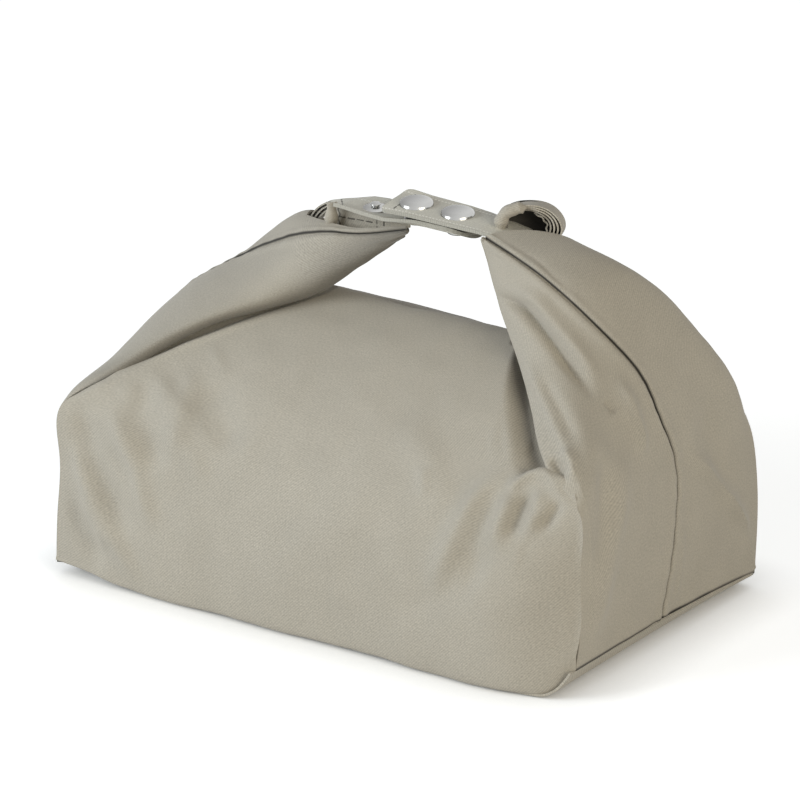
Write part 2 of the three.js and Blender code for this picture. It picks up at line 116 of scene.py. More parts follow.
# The same for the left end and arm, where the second place of a row is the roll of cloth above the fold. Past
# station 7 the last two places of a row only give the curve that the cloth has at its hem, which runs along
# the fifth place to the tip.
LEFT_NET = (
    ((-120, -72, 5), (-119.9, -62, 5.5), (-119.5, -36, 7), (-119, 0, 8), (-119.5, 36, 7), (-119.7, 55, 6),
     (-120, 72, 5)),
    ((-119.5, -71.5, 28), (-120.3, -62, 28), (-121, -36, 28), (-120, 0, 28), (-121, 36, 28), (-120.5, 55, 28),
     (-119.5, 72, 28)),
    ((-118.8, -71, 52), (-119.6, -62, 52), (-120.5, -36, 52), (-119.5, 0, 52), (-120.5, 36, 52),
     (-120, 55, 52), (-119, 72, 52)),
    ((-117.8, -70, 73.6), (-118.6, -63, 75.2), (-119.5, -36, 75), (-118.8, 0, 76), (-119, 36, 75),
     (-118.5, 55, 74), (-117.5, 70, 73)),
    ((-98, -58, 86), (-100.6, -59.6, 88.9), (-107, -46, 90.5), (-110, 0, 97), (-110, 32, 96), (-109, 52, 93),
     (-100, 58, 85)),
    ((-78.3, -44.5, 99.5), (-80.6, -49.6, 103.4), (-88, -38, 108.5), (-93, 0, 113), (-93, 26, 112),
     (-93, 43, 108), (-78, 46, 98)),
    ((-55.4, -29.5, 111.2), (-57.6, -35.8, 115.4), (-67, -29.5, 119.8), (-73, -3, 126), (-75, 14, 128),
     (-75, 30, 122), (-60, 34, 110)),
    ((-33.3, -13.5, 119.6), (-35.6, -20.8, 123.4), (-44, -23, 130), (-51, -9.5, 139), (-55, 3.5, 143.5),
     (-57, 17, 139), (-50, 26, 124)),
    ((-15.5, -11, 134), (-17.6, -16.8, 135.8), (-24, -18.4, 141), (-30, -13.5, 147.6), (-33, -7.5, 149.2),
     (-37, 1, 149), (-38, 8, 144)),
    ((-2, -12.2, 145.1), (-3.6, -15.0, 146.2), (-7, -16, 148.6), (-12, -14, 151.2), (-14.1, -12.5, 152.4),
     (-17, -9, 153), (-20, -4, 152)),
    ((10.5, -13.5, 156.3), (10.2, -13.9, 156.6), (9.8, -14.2, 157.1), (9.3, -13.9, 157.8),
     (9.0, -13.2, 158.6), (8.5, -12, 159), (8, -10, 159)),
)
SEAM_RAIL = 3
LEFT_HEM_RAIL = 4
LAST_RAIL = 6
LEFT_TIP_START = 7.35
LEFT_STEP = 0.05
RIGHT_STEP = 0.038
SEAM_STEPS = (0.006, 0.012, 0.02, 0.032, 0.05, 0.075)

# How far the folds of the arms are rounded, station by station.
RIGHT_FOLD_RADII = (0.3, 0.3, 0.3, 0.3, 0.9, 1.6, 1.8, 1.6, 0.8)
LEFT_FOLD_RADII = (0.3, 0.3, 0.3, 0.4, 1.6, 2.4, 3.0, 3.0, 2.4, 1.6, 0.8)
LEAST_RADIUS = 0.25
CURL_STEPS = 9
STRIP_STEPS = 8

# The pit beside the right fold: heights, the X of the fold there and how wide the pit is. The lip below
# it is given as X and the height there.
PIT_HEIGHTS = (80, 90.3, 95, 102, 112, 120)
PIT_EDGE = (119.5, 104, 97, 87.2, 74, 65)
PIT_WIDTH = (19, 20, 17, 14, 10, 8)
PIT_DEPTH = 7.5
LIP_X = (80, 86, 91.2, 94.5, 98.4, 102.8, 110)
LIP_HEIGHT = (86, 85, 85.7, 88.8, 90.8, 91.1, 90)
LIP_RISE = 2.4
EDGE_TUCK = 1.2
BACK_TUCK = 2.5

# Folds pressed into the cloth: the line of each one, its width and its height, below zero for a groove. Those
# narrower than the crisp width are creases.
CRISP_WIDTH = 1.5
FRONT_FOLDS = (
    (((-116, -71, 62), (-96, -73, 30), (-76, -74, 4)), 4.5, 3.0),
    (((-98, -66, 79), (-81, -72, 56), (-70, -74, 30)), 4.5, 3.0),
    (((-113, -69, 78), (-102, -72, 54), (-80, -74, 24)), 5, -3.0),
    (((-90, -62, 85), (-77, -68, 71), (-68, -72, 54)), 5.5, -2.8),
    (((-82, -58, 90), (-66, -66, 75), (-44, -72, 58)), 5.5, 2.4),
    (((-58, -52, 93), (-45, -62, 81), (-34, -68, 70)), 7, -2.2),
    (((-68, -45, 99), (-63, -66, 75), (-68, -72, 56)), 5, 1.6),
    (((-119, -71, 36), (-104, -73, 19), (-96, -73, 6)), 5, -2.4),
    (((-108, -73, 40), (-92, -74, 16)), 3, 1.6),
    (((-116, -70, 71.6), (-98, -59.5, 84), (-78.3, -46, 97.6), (-55.4, -31, 109.2), (-36, -16, 116)),
     1.6, 0.9),
    (((86, -54, 92), (74, -67, 72), (60, -75, 32)), 5, 3.0),
    (((49, -60, 83), (54, -68, 71)), 3, 1.2),
    (((84, -58, 86), (80, -71, 61), (76, -74, 40)), 5, -2.2),
    (((99, -59, 85), (96, -63, 77), (93, -69, 64)), 3.0, -3.4),
    (((112, -58, 83), (110, -60, 78), (105, -64, 70)), 2.4, -2.6),
    (((105, -58, 85), (103, -61, 79), (101, -67, 66)), 3.2, 2.2),
    (((91, -60, 84), (90, -65, 75), (87, -72, 58)), 4, 2.4),
    (((40, -75, 20), (70, -74, 40), (96, -66, 62)), 9, -1.6),
    (((-20, -75, 20), (10, -74, 50), (40, -66, 75)), 12, 1.4),
    (((30, -50, 95), (52, -60, 84), (66, -70, 66)), 7, 1.4),
)
RIGHT_FOLDS = (
    (((50, -14, 141), (67, -19, 139), (85, -21, 127), (107, -25, 110)), 2.6, -2.6),
    (((50, -14, 141), (67, -19, 139), (85, -21, 127), (107, -25, 110)), 1.3, -2.6),
    (((107, -12, 117), (113.5, -11, 104), (118.5, -8, 86)), 1.2, 1.3),
    (((112, -50.5, 95), (119.5, -55, 83), (121, -51.5, 60), (121.2, -51, 32), (120, -54, 14)), 1.2, 0.9),
    (((119, 17, 82), (121, 43, 54), (120, 71, 20)), 1.3, 1.0),
    (((57, -16, 147), (74, -18, 144), (91, -19, 130), (109, -20, 113)), 3.4, 3.2),
    (((108, -21, 112), (114, -19, 106)), 1.4, -2.4),
    (((107, -12, 119), (115, -10, 103), (119, -8, 82)), 3.5, 2.6),
    (((119, -22, 92), (121, -42, 49), (121, -51, 15)), 6, 2.8),
    (((114, -38, 98), (121, -40, 71), (121, -42, 44)), 6, -2.8),
    (((119, 17, 82), (121, 43, 54), (120, 71, 20)), 4, 2.6),
    (((120, 16, 52), (120, 15, 30), (119, 13, 12)), 1.2, 1.2),
    (((118, 30, 96), (121, 40, 70), (121, 44, 40)), 8, -1.6),
    (((56, -10, 160), (68, -10, 157), (78, -12, 152), (87, -11, 145)), 1.4, -0.7),
    (((101, -51, 95), (106, -52, 93), (110, -54, 87)), 1.8, -2.6),
    (((105, -48, 100), (111, -50, 95), (115, -53, 87)), 2.4, 2.2),
    (((68, -23, 124), (91, -37.5, 111), (112, -50.5, 95), (119.5, -55, 83)), 2.6, 1.5),
    (((82, -30, 119), (97, -36, 108), (110, -44, 98)), 3.5, -1.8),
)
# The drawn-up edges of the front cloth, from which drag lines run down.
LEFT_DRAG = ((-118, -70, 73), (-98, -58, 86), (-78, -44.5, 99.5), (-64, -35.3, 106.6))
RIGHT_DRAG = ((70, -58, 86), (91, -57, 85.7), (98.4, -55, 90), (110, -57, 88), (119, -57, 80))

# The wall under the cloth: how deep its layers lie, the columns and heights where the boards and films are
# cut, and the thickness of each in metres.
UNDER_DEPTH = 2.4
FOAM_DEPTH = 1.6
FILM_DEPTH = 4.8
FRONT_MIDDLE = 80
BACK_MIDDLE = 60
TUB_HEIGHTS = (7, 71)
ROOF_LOW = 79
FILM_LOW = 5
FOAM_THICK = 2.2 * MM
FILM_THICK = 0.4 * MM
ROLL_THICK = 0.6 * MM
FACING_THICK = 0.8 * MM

# Height of a strap's top face along its front edge, its middle and its back edge, at each X.
RIGHT_STRAP_X = (-6, -1, 6, 24, 34, 40, 46, 53)
RIGHT_STRAP_TOP = ((161.9, 162.4, 162.9, 163.1, 163.1, 163.3, 163.0, 161),
                   (163.1, 163.1, 163.1, 163.1, 163.1, 163.0, 162.4, 160.5),
                   (164.2, 163.9, 163.4, 163.1, 162.4, 161.5, 160.6, 159.5))
LEFT_STRAP_X = (-45, -38, -32, -27, -22, -15, -4, 10, 34)
LEFT_STRAP_TOP = ((152, 156, 159, 160, 159.8, 159.2, 158.8, 160.4, 160.8),
                  (150.5, 154.3, 156.2, 157, 157.1, 156.7, 156.5, 156.5, 156.5),
                  (149.4, 151.6, 153.6, 155.4, 156.9, 157.6, 156.7, 156.5, 156.5))
LEFT_STRAP_ROOT = (-27.5, -44.6)
LEFT_STRAP_SLANT = 1.8
STRAP_CORNER = 3
# Painted shade on the straps' edges and sides.
STRAP_EDGE_SHADE = 0.42
STRAP_RIM = 0.4 * MM

# The curled end of the right roll: its middle, its width and height directions, and the way it opens.
CURL_MIDDLE = (55, 4, 163.5)
CURL_WIDE = (0.893, 0.45, 0)
CURL_HIGH = (-0.2, 0.15, 0.97)
CURL_OPEN = (0.4365, -0.866, 0.224)
CURL_HALF = (12.9, 9.0)
ROLL_TURNS = 2.6
ROLL_TIGHT = 0.4

# Outlines of the snap parts, from the axis outwards and back, as shares of the radius and of the height.
CAP_PROFILE = (
    (0, 1), (0.35, 0.995), (0.6, 0.985), (0.74, 0.965), (0.82, 0.93), (0.88, 0.88), (0.925, 0.81),
    (0.955, 0.73), (0.978, 0.63), (0.992, 0.52), (1, 0.40), (0.995, 0.28), (0.98, 0.17), (0.955, 0.08),
    (0.92, 0.02), (0.88, 0), (0, 0))
SOCKET_PROFILE = (
    (0, 1), (0.9, 1), (1, 0.92), (1, 0.5), (0.94, 0.34), (0.8, 0.26), (0.7, 0.06), (0.62, 0), (0.5, 0.06),
    (0.46, 0.4), (0, 0.45))
STUD_PROFILE = (
    (0, 1), (0.2, 0.99), (0.34, 0.93), (0.42, 0.80), (0.42, 0.68), (0.34, 0.55), (0.32, 0.44), (0.4, 0.36),
    (0.84, 0.32), (0.95, 0.26), (1, 0.14), (0.97, 0.02), (0.9, 0), (0, 0))
RIVET_PROFILE = (
    (0, 1), (0.9, 1), (0.98, 0.96), (1, 0.86), (0.94, 0.72), (0.7, 0.6), (0.35, 0.53), (0, 0.5))

# Looks: the fineness and slant of the twill, and the colours of the straps' stitch rows. In metres, how far
# the edge rows lie from the edge, and for each kind of row half its width and the pitch of its stitches,
# with the share of the pitch that is thread.
TWILL_THREADS = 1300.0
TWILL_ANGLE = math.radians(38)
STITCH_ROWS = (("Edge Rows", (0.95, 0.93, 0.85, 1)), ("End Row", (0.09, 0.085, 0.07, 1)))
STITCH_INSET = 0.0022
EDGE_STITCHES = (0.0004, 0.0016, 0.62)
END_STITCHES = (0.00035, 0.0029, 0.8)

# Stage, in metres and watts: each lamp's name, place, size, power and colour, the world and the floor, and
# the camera's lens, way back, target in millimetres and distance.
LAMPS = (("key", (-1.3, -1.6, 0.8), 1.1, 31.0, (0.93, 0.98, 1.0)),
         ("fill", (1.8, -0.7, 0.8), 1.2, 15.8, (1.0, 0.92, 0.74)))
LAMP_TARGET = (0, 0, 0.08)
WORLD_LEVEL = 0.26
FLOOR_COLOUR = (0.86, 0.86, 0.86, 1)
FLOOR_GLOW = 0.64
FLOOR_GLOW_COLOUR = (0.965, 0.985, 1, 1)
# How far the floor's painted contact shadow reaches.
CONTACT_REACH = 0.028
CAMERA_LENS = 566.3
CAMERA_WAY = (0.5126, -0.7661, 0.3875)
CAMERA_TARGET = (-1.98, -1.33, 78.0)
CAMERA_DISTANCE = 5.0


class LunchBagSizes(bpy.types.PropertyGroup):
    """Sizes that a user would change."""
    cloth: bpy.props.FloatProperty(
        name="Cloth", description="Thickness of the shell cloth", default=0.9 * MM, unit="LENGTH")
    seam_depth: bpy.props.FloatProperty(
        name="Seam depth", description="How far a seam pulls the cloth in", default=1.3 * MM, unit="LENGTH")
    strap_thickness: bpy.props.FloatProperty(
        name="Strap", description="Thickness of a doubled strap", default=1.5 * MM, unit="LENGTH")


class LunchBagColours(bpy.types.PropertyGroup):
    """Colours that a user would change."""
    shell: bpy.props.FloatVectorProperty(
        name="Shell", description="Colour of the nylon twill", subtype="COLOR", size=3, min=0, max=1,
        default=(0.445, 0.412, 0.350))
    strap: bpy.props.FloatVectorProperty(
        name="Strap", description="Colour of the strap twill", subtype="COLOR", size=3, min=0, max=1,
        default=(0.71, 0.69, 0.61))
    lining: bpy.props.FloatVectorProperty(
        name="Lining", description="Colour of the silver film", subtype="COLOR", size=3, min=0, max=1,
        default=(0.62, 0.63, 0.65))
    foam: bpy.props.FloatVectorProperty(
        name="Foam", description="Colour of the insulation", subtype="COLOR", size=3, min=0, max=1,
        default=(0.85, 0.85, 0.82))
    snap: bpy.props.FloatVectorProperty(
        name="Snap", description="Colour of the snap metal", subtype="COLOR", size=3, min=0, max=1,
        default=(0.46, 0.46, 0.45))


def spline_weights(places, gaps):
    """Weights that carry values along a natural cubic spline with the given gaps, one row for each place."""
    count = len(gaps) + 1
    bends = np.eye(count)
    pull = np.zeros((count, count))
    for i in range(1, count - 1):
        before, after = gaps[i - 1], gaps[i]
        bends[i, i - 1:i + 2] = (before, 2 * (before + after), after)
        pull[i, i - 1:i + 2] = (6 / before, -6 / before - 6 / after, 6 / after)
    curve = np.linalg.solve(bends, pull)
    places = np.asarray(places, float)
    low = np.clip(places.astype(int), 0, count - 2)
    part = places - low
    rest = 1 - part
    size = gaps[low] ** 2 / 6
    line = np.eye(count)
    straight = rest[:, None] * line[low] + part[:, None] * line[low + 1]
    first = (size * (rest ** 3 - rest))[:, None] * curve[low]
    second = (size * (part ** 3 - part))[:, None] * curve[low + 1]
    return straight + (first + second)


def along_curve(points, places):
    """Places on a smooth curve through the points; a place counts points from 0."""
    return spline_weights(places, np.ones(len(points) - 1)) @ np.array(points, float)


def loft(net, across, along):
    """Grid of places on a smooth surface through a net of points."""
    net = np.array(net, float)
    rows = np.linalg.norm(np.diff(net, axis=0), axis=2).mean(axis=1)
    rails = np.linalg.norm(np.diff(net, axis=1), axis=2)[3:].mean(axis=0)
    return np.einsum("si,tj,ijk->stk", spline_weights(along, rows), spline_weights(across, rails), net)


def smooth(share):
    """Smooth step of a share clipped to 0 and 1."""
    share = np.clip(share, 0, 1)
    return share * share * (3 - 2 * share)


def outward(grid):
    """Unit normals of a grid whose columns run to the right and whose rows run up when seen from outside."""
    normal = np.cross(np.gradient(grid, axis=1), np.gradient(grid, axis=0))
    return normal / np.maximum(np.linalg.norm(normal, axis=2, keepdims=True), 1e-9)


def raised(grid, lift):
    """Grid moved outwards by a height at each place."""
    return grid + outward(grid) * np.broadcast_to(lift, grid.shape[:2])[..., None]


def offset_grid(grid, depth):
    """Grid moved inwards by a depth."""
    return grid - outward(grid) * np.broadcast_to(depth, grid.shape[:2])[..., None]


def line_field(grid, line):
    """Distance of each place of a grid from a line, and the share along that line of its nearest place."""
    line = np.array(line, float)
    lengths = np.linalg.norm(np.diff(line, axis=0), axis=1)
    starts = np.concatenate(([0], np.cumsum(lengths)))
    best = np.full(grid.shape[:2], np.inf)
    share = np.zeros(grid.shape[:2])
    for i, length in enumerate(lengths):
        step = line[i + 1] - line[i]
        part = np.clip((grid - line[i]) @ step / length ** 2, 0, 1)
        far = np.linalg.norm(grid - line[i] - part[..., None] * step, axis=2)
        nearer = far < best
        best = np.where(nearer, far, best)
        share = np.where(nearer, (starts[i] + part * length) / starts[-1], share)
    return best, share


def laid_on(grid, line):
    """Line moved onto the cloth along the cloth's own normals."""
    flat, normals = grid.reshape(-1, 3), outward(grid).reshape(-1, 3)
    line = np.array(line, float)
    places = np.linspace(0, len(line) - 1, 6 * len(line))
    laid = np.stack([np.interp(places, np.arange(len(line)), line[:, axis]) for axis in range(3)], axis=1)
    for number, place in enumerate(laid):
        near = np.argmin(((flat - place) ** 2).sum(axis=1))
        laid[number] = place - normals[near] * ((place - flat[near]) @ normals[near])
    return laid


def pressed(grid, folds, hold=1.0):
    """Raises ridges along lines, or sinks grooves where the height is negative; each fold has its width."""
    lift = np.zeros(grid.shape[:2])
    for line, width, height in folds:
        far, share = line_field(grid, laid_on(grid, line))
        power = 1 if width < CRISP_WIDTH else 2
        lift += height * np.exp(-(far / width) ** power) * smooth(np.minimum(share, 1 - share) / 0.3)
    return raised(grid, lift * hold)


def ripple(grid, size, height, seed, hold=1.0):
    """Adds the slow unevenness of soft cloth."""
    shift = Vector((seed * 3.7, seed * 1.9, seed * 2.3))
    flat = grid.reshape(-1, 3)
    lift = np.array([noise.fractal(Vector(place) / size + shift, 0.8, 2.0, 3) for place in flat])
    return raised(grid, height * lift.reshape(grid.shape[:2]) * hold)


def streaked(grid, line, lean, pitch, reach, height, seed, hold):
    """Adds the drag lines that run down from a drawn-up edge of the cloth and fade out below it."""
    far, share = line_field(grid, line)
    length = np.linalg.norm(np.diff(np.array(line, float), axis=0), axis=1).sum()
    lane = (share * length - lean * far) / pitch
    flat = np.stack((lane, far / 90, np.full(far.shape, seed)), axis=2).reshape(-1, 3)
    lift = np.array([noise.noise(Vector(place)) for place in flat]).reshape(far.shape)
    fade = np.exp(-(far / reach) ** 2) * smooth((far - 3) / 12) * smooth(np.minimum(share, 1 - share) / 0.08)
    return raised(grid, height * lift * fade * hold)


def softened(grid, times):
    """Grid whose places are moved towards the mean of their neighbours, with its border kept."""
    grid = grid.copy()
    for _ in range(times):
        mean = (grid[:-2, 1:-1] + grid[2:, 1:-1] + grid[1:-1, :-2] + grid[1:-1, 2:]) / 4
        grid[1:-1, 1:-1] = mean
    return grid


def row_lengths(grid):
    """Length along each row of a grid from its first column."""
    steps = np.linalg.norm(np.diff(grid, axis=1), axis=2)
    return np.concatenate((np.zeros((len(grid), 1)), np.cumsum(steps, axis=1)), axis=1)


def held_edges(grid, top):
    """Share that lets the cloth move inside a panel and holds it still at the edges below a height."""
    lengths = row_lengths(grid)
    inner = np.minimum(lengths, lengths[:, -1:] - lengths)
    return np.maximum(smooth((inner - 1.5) / 9), smooth((grid[..., 2] - top) / 8))


def drawn_back(grid, margin):
    """Grid whose rows start a margin further in, with the same columns."""
    drawn = np.empty_like(grid)
    for row, (line, length) in enumerate(zip(grid, row_lengths(grid))):
        start = min(margin[row], 0.4 * length[-1])
        place = start + length * (length[-1] - start) / length[-1]
        for axis in range(3):
            drawn[row, :, axis] = np.interp(place, length, line[:, axis])
    return drawn


def folded_edge(grid, sense, radius, turn, strip):
    """Grid whose first edge is a rounded fold: the cloth rolls in through a turn and ends in a strip."""
    grid = drawn_back(grid, radius)
    edge = grid[:, 0]
    out = edge - grid[:, 1]
    out /= np.maximum(np.linalg.norm(out, axis=1, keepdims=True), 1e-9)
    normal = outward(grid)[:, 0] * sense
    angles = (turn[:, None] * np.linspace(1, 0, CURL_STEPS, endpoint=False))[..., None]
    rounded = np.sin(angles) * out[:, None] - (1 - np.cos(angles)) * normal[:, None]
    curl = edge[:, None] + radius[:, None, None] * rounded
    way = np.cos(turn)[:, None] * out - np.sin(turn)[:, None] * normal
    reach = np.linspace(1, 0, STRIP_STEPS, endpoint=False)[None, :, None] * strip[:, None, None]
    return np.concatenate((curl[:, :1] + reach * way[:, None], curl, grid), axis=1)


def flat_lengths(grid):
    """Lengths along the rows and columns of a grid, which stand for the flat cloth's own coordinates."""
    across = np.linalg.norm(np.diff(grid, axis=1), axis=2).mean(axis=0)
    along = np.linalg.norm(np.diff(grid, axis=0), axis=2).mean(axis=1)
    return np.concatenate(([0], np.cumsum(across))), np.concatenate(([0], np.cumsum(along)))


def cloth_piece(name, grids, material, masks=None, thickness=0.0):
    """Object of grids of cloth, with a UV map in metres of flat cloth and a mask that darkens it at seams and
    stitches and with painted shade.
    """
    bm = bmesh.new()
    uv = bm.loops.layers.uv.new("flat_cloth")
    # Besides seams and stitches, the mask holds painted shade: along the left arm's fold, on the straps'
    # edges and inside the right roll's curl.
    shade = bm.verts.layers.float.new("seam_and_painted_shade")
    for number, grid in enumerate(grids):
        rows, columns = grid.shape[:2]
        made = bmesh.ops.create_grid(bm, x_segments=columns - 1, y_segments=rows - 1, size=1, calc_uvs=True)
        across, along = flat_lengths(grid)
        verts = made["verts"]
        mask = masks[number].reshape(-1) if masks else np.zeros(rows * columns)
        for vert, place, dark in zip(verts, grid.reshape(-1, 3), mask):
            vert.co = place * MM
            vert[shade] = dark
        for face in {face for vert in verts for face in vert.link_faces}:
            for loop in face.loops:
                column = round(loop[uv].uv.x * (columns - 1))
                row = round(loop[uv].uv.y * (rows - 1))
                loop[uv].uv = (across[column] * MM, along[row] * MM)
    bmesh.ops.remove_doubles(bm, verts=bm.verts, dist=0.02 * MM)
    for face in bm.faces:
        face.smooth = True
    for edge in bm.edges:
        edge.smooth = not edge.is_boundary
    return finish_mesh(name, bm, material, thickness)


def finish_mesh(name, bm, material, thickness=0.0):
    """Turns a bmesh into an object with a material, and with a wall where it is a sheet."""
    mesh = bpy.data.meshes.new(name)
    bm.to_mesh(mesh)
    bm.free()
    piece = bpy.data.objects.new(name, mesh)
    bpy.context.collection.objects.link(piece)
    mesh.materials.append(material)
    if thickness:
        wall = piece.modifiers.new("wall", "SOLIDIFY")
        wall.thickness = thickness
        wall.offset = -1
        wall.use_even_offset = False
    return piece


def bend(piece):
    """Bakes a piece's place into its mesh."""
    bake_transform(piece)


def declare_sheet(grids):
    """Works out the greatest flat length of a piece's grids, which is then not used."""
    length = max(row_lengths(grid.swapaxes(0, 1)).max() for grid in grids) * MM


def wire(tree, node, inputs):
    """Fills a node's inputs by name or number: a socket is linked, anything else is set as a constant."""
    for name, value in inputs.items():
        if isinstance(value, bpy.types.NodeSocket):
            tree.links.new(value, node.inputs[name])
        else:
            node.inputs[name].default_value = value


def add(tree, kind, inputs, **settings):
    """Adds a shader node with its settings and inputs, and gives its outputs."""
    node = tree.nodes.new("ShaderNode" + kind)
    for name, value in settings.items():
        setattr(node, name, value)
    wire(tree, node, inputs)
    return node.outputs


def calc(tree, operation, *values):
    """Result of a math node."""
    return add(tree, "Math", dict(enumerate(values)), operation=operation)["Value"]


def ranged(tree, value, low, high, start=0.0, stop=1.0):
    """Value mapped from the range of start and stop to that of low and high."""
    inputs = {"Value": value, "From Min": start, "From Max": stop, "To Min": low, "To Max": high}
    return add(tree, "MapRange", inputs)["Result"]


def scaled(tree, colour, factor):
    """Colour times a varying factor."""
    return add(tree, "VectorMath", {0: colour, "Scale": factor}, operation="SCALE")["Vector"]


def bumped(tree, height, strength, distance):
    """Normal of a surface with a varying height; the distance is in metres."""
    return add(tree, "Bump", {"Height": height, "Strength": strength, "Distance": distance})["Normal"]


def white_rays(tree):
    """One for the rays that see a white studio: those of the camera, of gloss and of clear bodies."""
    path = add(tree, "LightPath", {})
    seen = calc(tree, "MAXIMUM", path["Is Camera Ray"], path["Is Glossy Ray"])
    return calc(tree, "MAXIMUM", seen, path["Is Transmission Ray"])


def new_group(name, values, outputs):
    """Shader node group with a vector input and named values; gives its tree, inputs and output node."""
    tree = bpy.data.node_groups.new(name, "ShaderNodeTree")
    tree.interface.new_socket("Vector", in_out="INPUT", socket_type="NodeSocketVector")
    for title, value in values:
        socket = tree.interface.new_socket(title, in_out="INPUT", socket_type="NodeSocketFloat")
        socket.default_value = value
    for title in outputs:
        tree.interface.new_socket(title, in_out="OUTPUT", socket_type="NodeSocketFloat")
    return tree, tree.nodes.new("NodeGroupInput").outputs, tree.nodes.new("NodeGroupOutput")


def twill_group():
    """Fine diagonal twill with uneven threads, as a height."""
    if "twill_weave" in bpy.data.node_groups:
        return bpy.data.node_groups["twill_weave"]
    tree, given, result = new_group("twill_weave", (("Threads", TWILL_THREADS),), ("Height",))
    turned = add(tree, "Mapping", {"Vector": given["Vector"], "Rotation": (0, 0, TWILL_ANGLE)})
    rib = add(tree, "TexWave", {"Vector": turned["Vector"], "Distortion": 1.2, "Detail": 1.0,
                                "Scale": calc(tree, "MULTIPLY", given["Threads"], 0.3)},
              wave_type="BANDS", bands_direction="X")
    grain = add(tree, "TexNoise", {"Vector": given["Vector"], "Scale": given["Threads"], "Detail": 2.0})
    mixed = add(tree, "Mix", {"Factor": 0.78, "A": rib["Fac"], "B": grain["Fac"]})
    wire(tree, result, {"Height": mixed["Result"]})
    return tree


def stitch_group():
    """Rows of stitches along both edges of a strap and across its end, as masks from its flat coordinates."""
    if "strap_stitches" in bpy.data.node_groups:
        return bpy.data.node_groups["strap_stitches"]
    tree, given, result = new_group("strap_stitches", (("Half Width", 0.0105), ("End", 0.0055)),
                                    ("Edge Rows", "End Row"))

    def close(value, place, reach):
        """One where a value is close to a place."""
        return calc(tree, "LESS_THAN", calc(tree, "ABSOLUTE", calc(tree, "SUBTRACT", value, place)), reach)

    def dashes(value, pitch, share):
        """One on the stitches of a row and zero between them."""
        return calc(tree, "LESS_THAN", calc(tree, "FRACT", calc(tree, "DIVIDE", value, pitch)), share)

    flat = add(tree, "SeparateXYZ", {"Vector": given["Vector"]})
    off_middle = calc(tree, "ABSOLUTE", calc(tree, "SUBTRACT", flat["Y"], given["Half Width"]))
    row = calc(tree, "SUBTRACT", given["Half Width"], STITCH_INSET)
    thin, pitch, share = EDGE_STITCHES
    edge_rows = calc(tree, "MULTIPLY", close(off_middle, row, thin), dashes(flat["X"], pitch, share))
    inside = calc(tree, "LESS_THAN", off_middle, row)
    thin, pitch, share = END_STITCHES
    end_row = calc(tree, "MULTIPLY", close(flat["X"], given["End"], thin), inside)
    end_row = calc(tree, "MULTIPLY", end_row, dashes(flat["Y"], pitch, share))
    wire(tree, result, {"Edge Rows": edge_rows, "End Row": end_row})
    return tree


def mottle_group():
    """Slow uneven tone of dyed cloth, as a value about one half."""
    if "cloth_mottle" in bpy.data.node_groups:
        return bpy.data.node_groups["cloth_mottle"]
    tree, given, result = new_group("cloth_mottle", (("Patches", 60.0),), ("Tone",))
    patch = add(tree, "TexNoise", {"Vector": given["Vector"], "Scale": given["Patches"], "Detail": 4.0,
                                   "Roughness": 0.6})
    wire(tree, result, {"Tone": patch["Fac"]})
    return tree


def new_material(name):
    """Material with a Principled shader; gives the material, its node tree and its shader."""
    material = bpy.data.materials.new(name)
    material.use_nodes = True
    tree = material.node_tree
    shader = next(node for node in tree.nodes if node.type == "BSDF_PRINCIPLED")
    return material, tree, shader


def cloth_material(name, colour, grain, stitched=False):
    """Matt nylon twill with a soft sheen: weave, mottling, darker seams and painted shade from a mask, with
    or without stitches.
    """
    if name in bpy.data.materials:
        return bpy.data.materials[name]
    material, tree, shader = new_material(name)
    place = add(tree, "TexCoord", {})
    weave = add(tree, "Group", {"Vector": place["UV"]}, node_tree=twill_group())["Height"]
    mottle = add(tree, "Group", {"Vector": place["Object"]}, node_tree=mottle_group())["Tone"]
    # The mask darkens the colour at seams and stitches and where shade is painted.
    seam = add(tree, "Attribute", {}, attribute_name="seam_and_painted_shade")["Fac"]
    threads = ranged(tree, weave, 1 - grain, 1 + grain)
    tone = calc(tree, "MULTIPLY", threads, ranged(tree, mottle, 0.965, 1.035, 0.3, 0.7))
    tone = calc(tree, "MULTIPLY", tone, ranged(tree, seam, 1.0, 0.06))
    dye = scaled(tree, colour, tone)
    if stitched:
        rows = add(tree, "Group", {"Vector": place["UV"]}, node_tree=stitch_group())
        for mask, thread in STITCH_ROWS:
            dye = add(tree, "Mix", {"Factor": rows[mask], "A": dye, "B": thread}, data_type="RGBA")["Result"]
    wire(tree, shader, {"Base Color": dye, "Roughness": ranged(tree, weave, 0.62, 0.82),
                        "Normal": bumped(tree, weave, 0.35, 0.00015)})
    shader.inputs["Specular IOR Level"].default_value = 0.3
    shader.inputs["Sheen Weight"].default_value = 0.12
    shader.inputs["Sheen Roughness"].default_value = 0.5
    return material


def shell_cloth():
    """Material of the bag's outer cloth."""
    return cloth_material("shell_twill", bpy.context.scene.lunch_bag_colours.shell, 0.42)


def strap_cloth():
    """Material of the straps."""
    return cloth_material("strap_twill", bpy.context.scene.lunch_bag_colours.strap, 0.35, True)


def snap_material():
    """Polished nickel with a faint brushed unevenness and a painted reflection of a studio: darker to the
    left, lighter to the right.
    """
    material, tree, shader = new_material("snap_nickel")
    place = add(tree, "TexCoord", {})
    mottle = add(tree, "Group", {"Vector": place["Object"], "Patches": 900.0}, node_tree=mottle_group())
    # Painted reflection: the colour runs from dark at each piece's left to light at its right.
    across = add(tree, "SeparateXYZ", {"Vector": place["Generated"]})["X"]
    tone = ranged(tree, across, 0.42, 1.2, 0.05, 0.85)
    painted_reflection = scaled(tree, bpy.context.scene.lunch_bag_colours.snap, tone)
    wire(tree, shader, {"Base Color": painted_reflection, "Roughness": ranged(tree, mottle["Tone"], 0.12, 0.26)})
    shader.inputs["Metallic"].default_value = 1.0
    return material


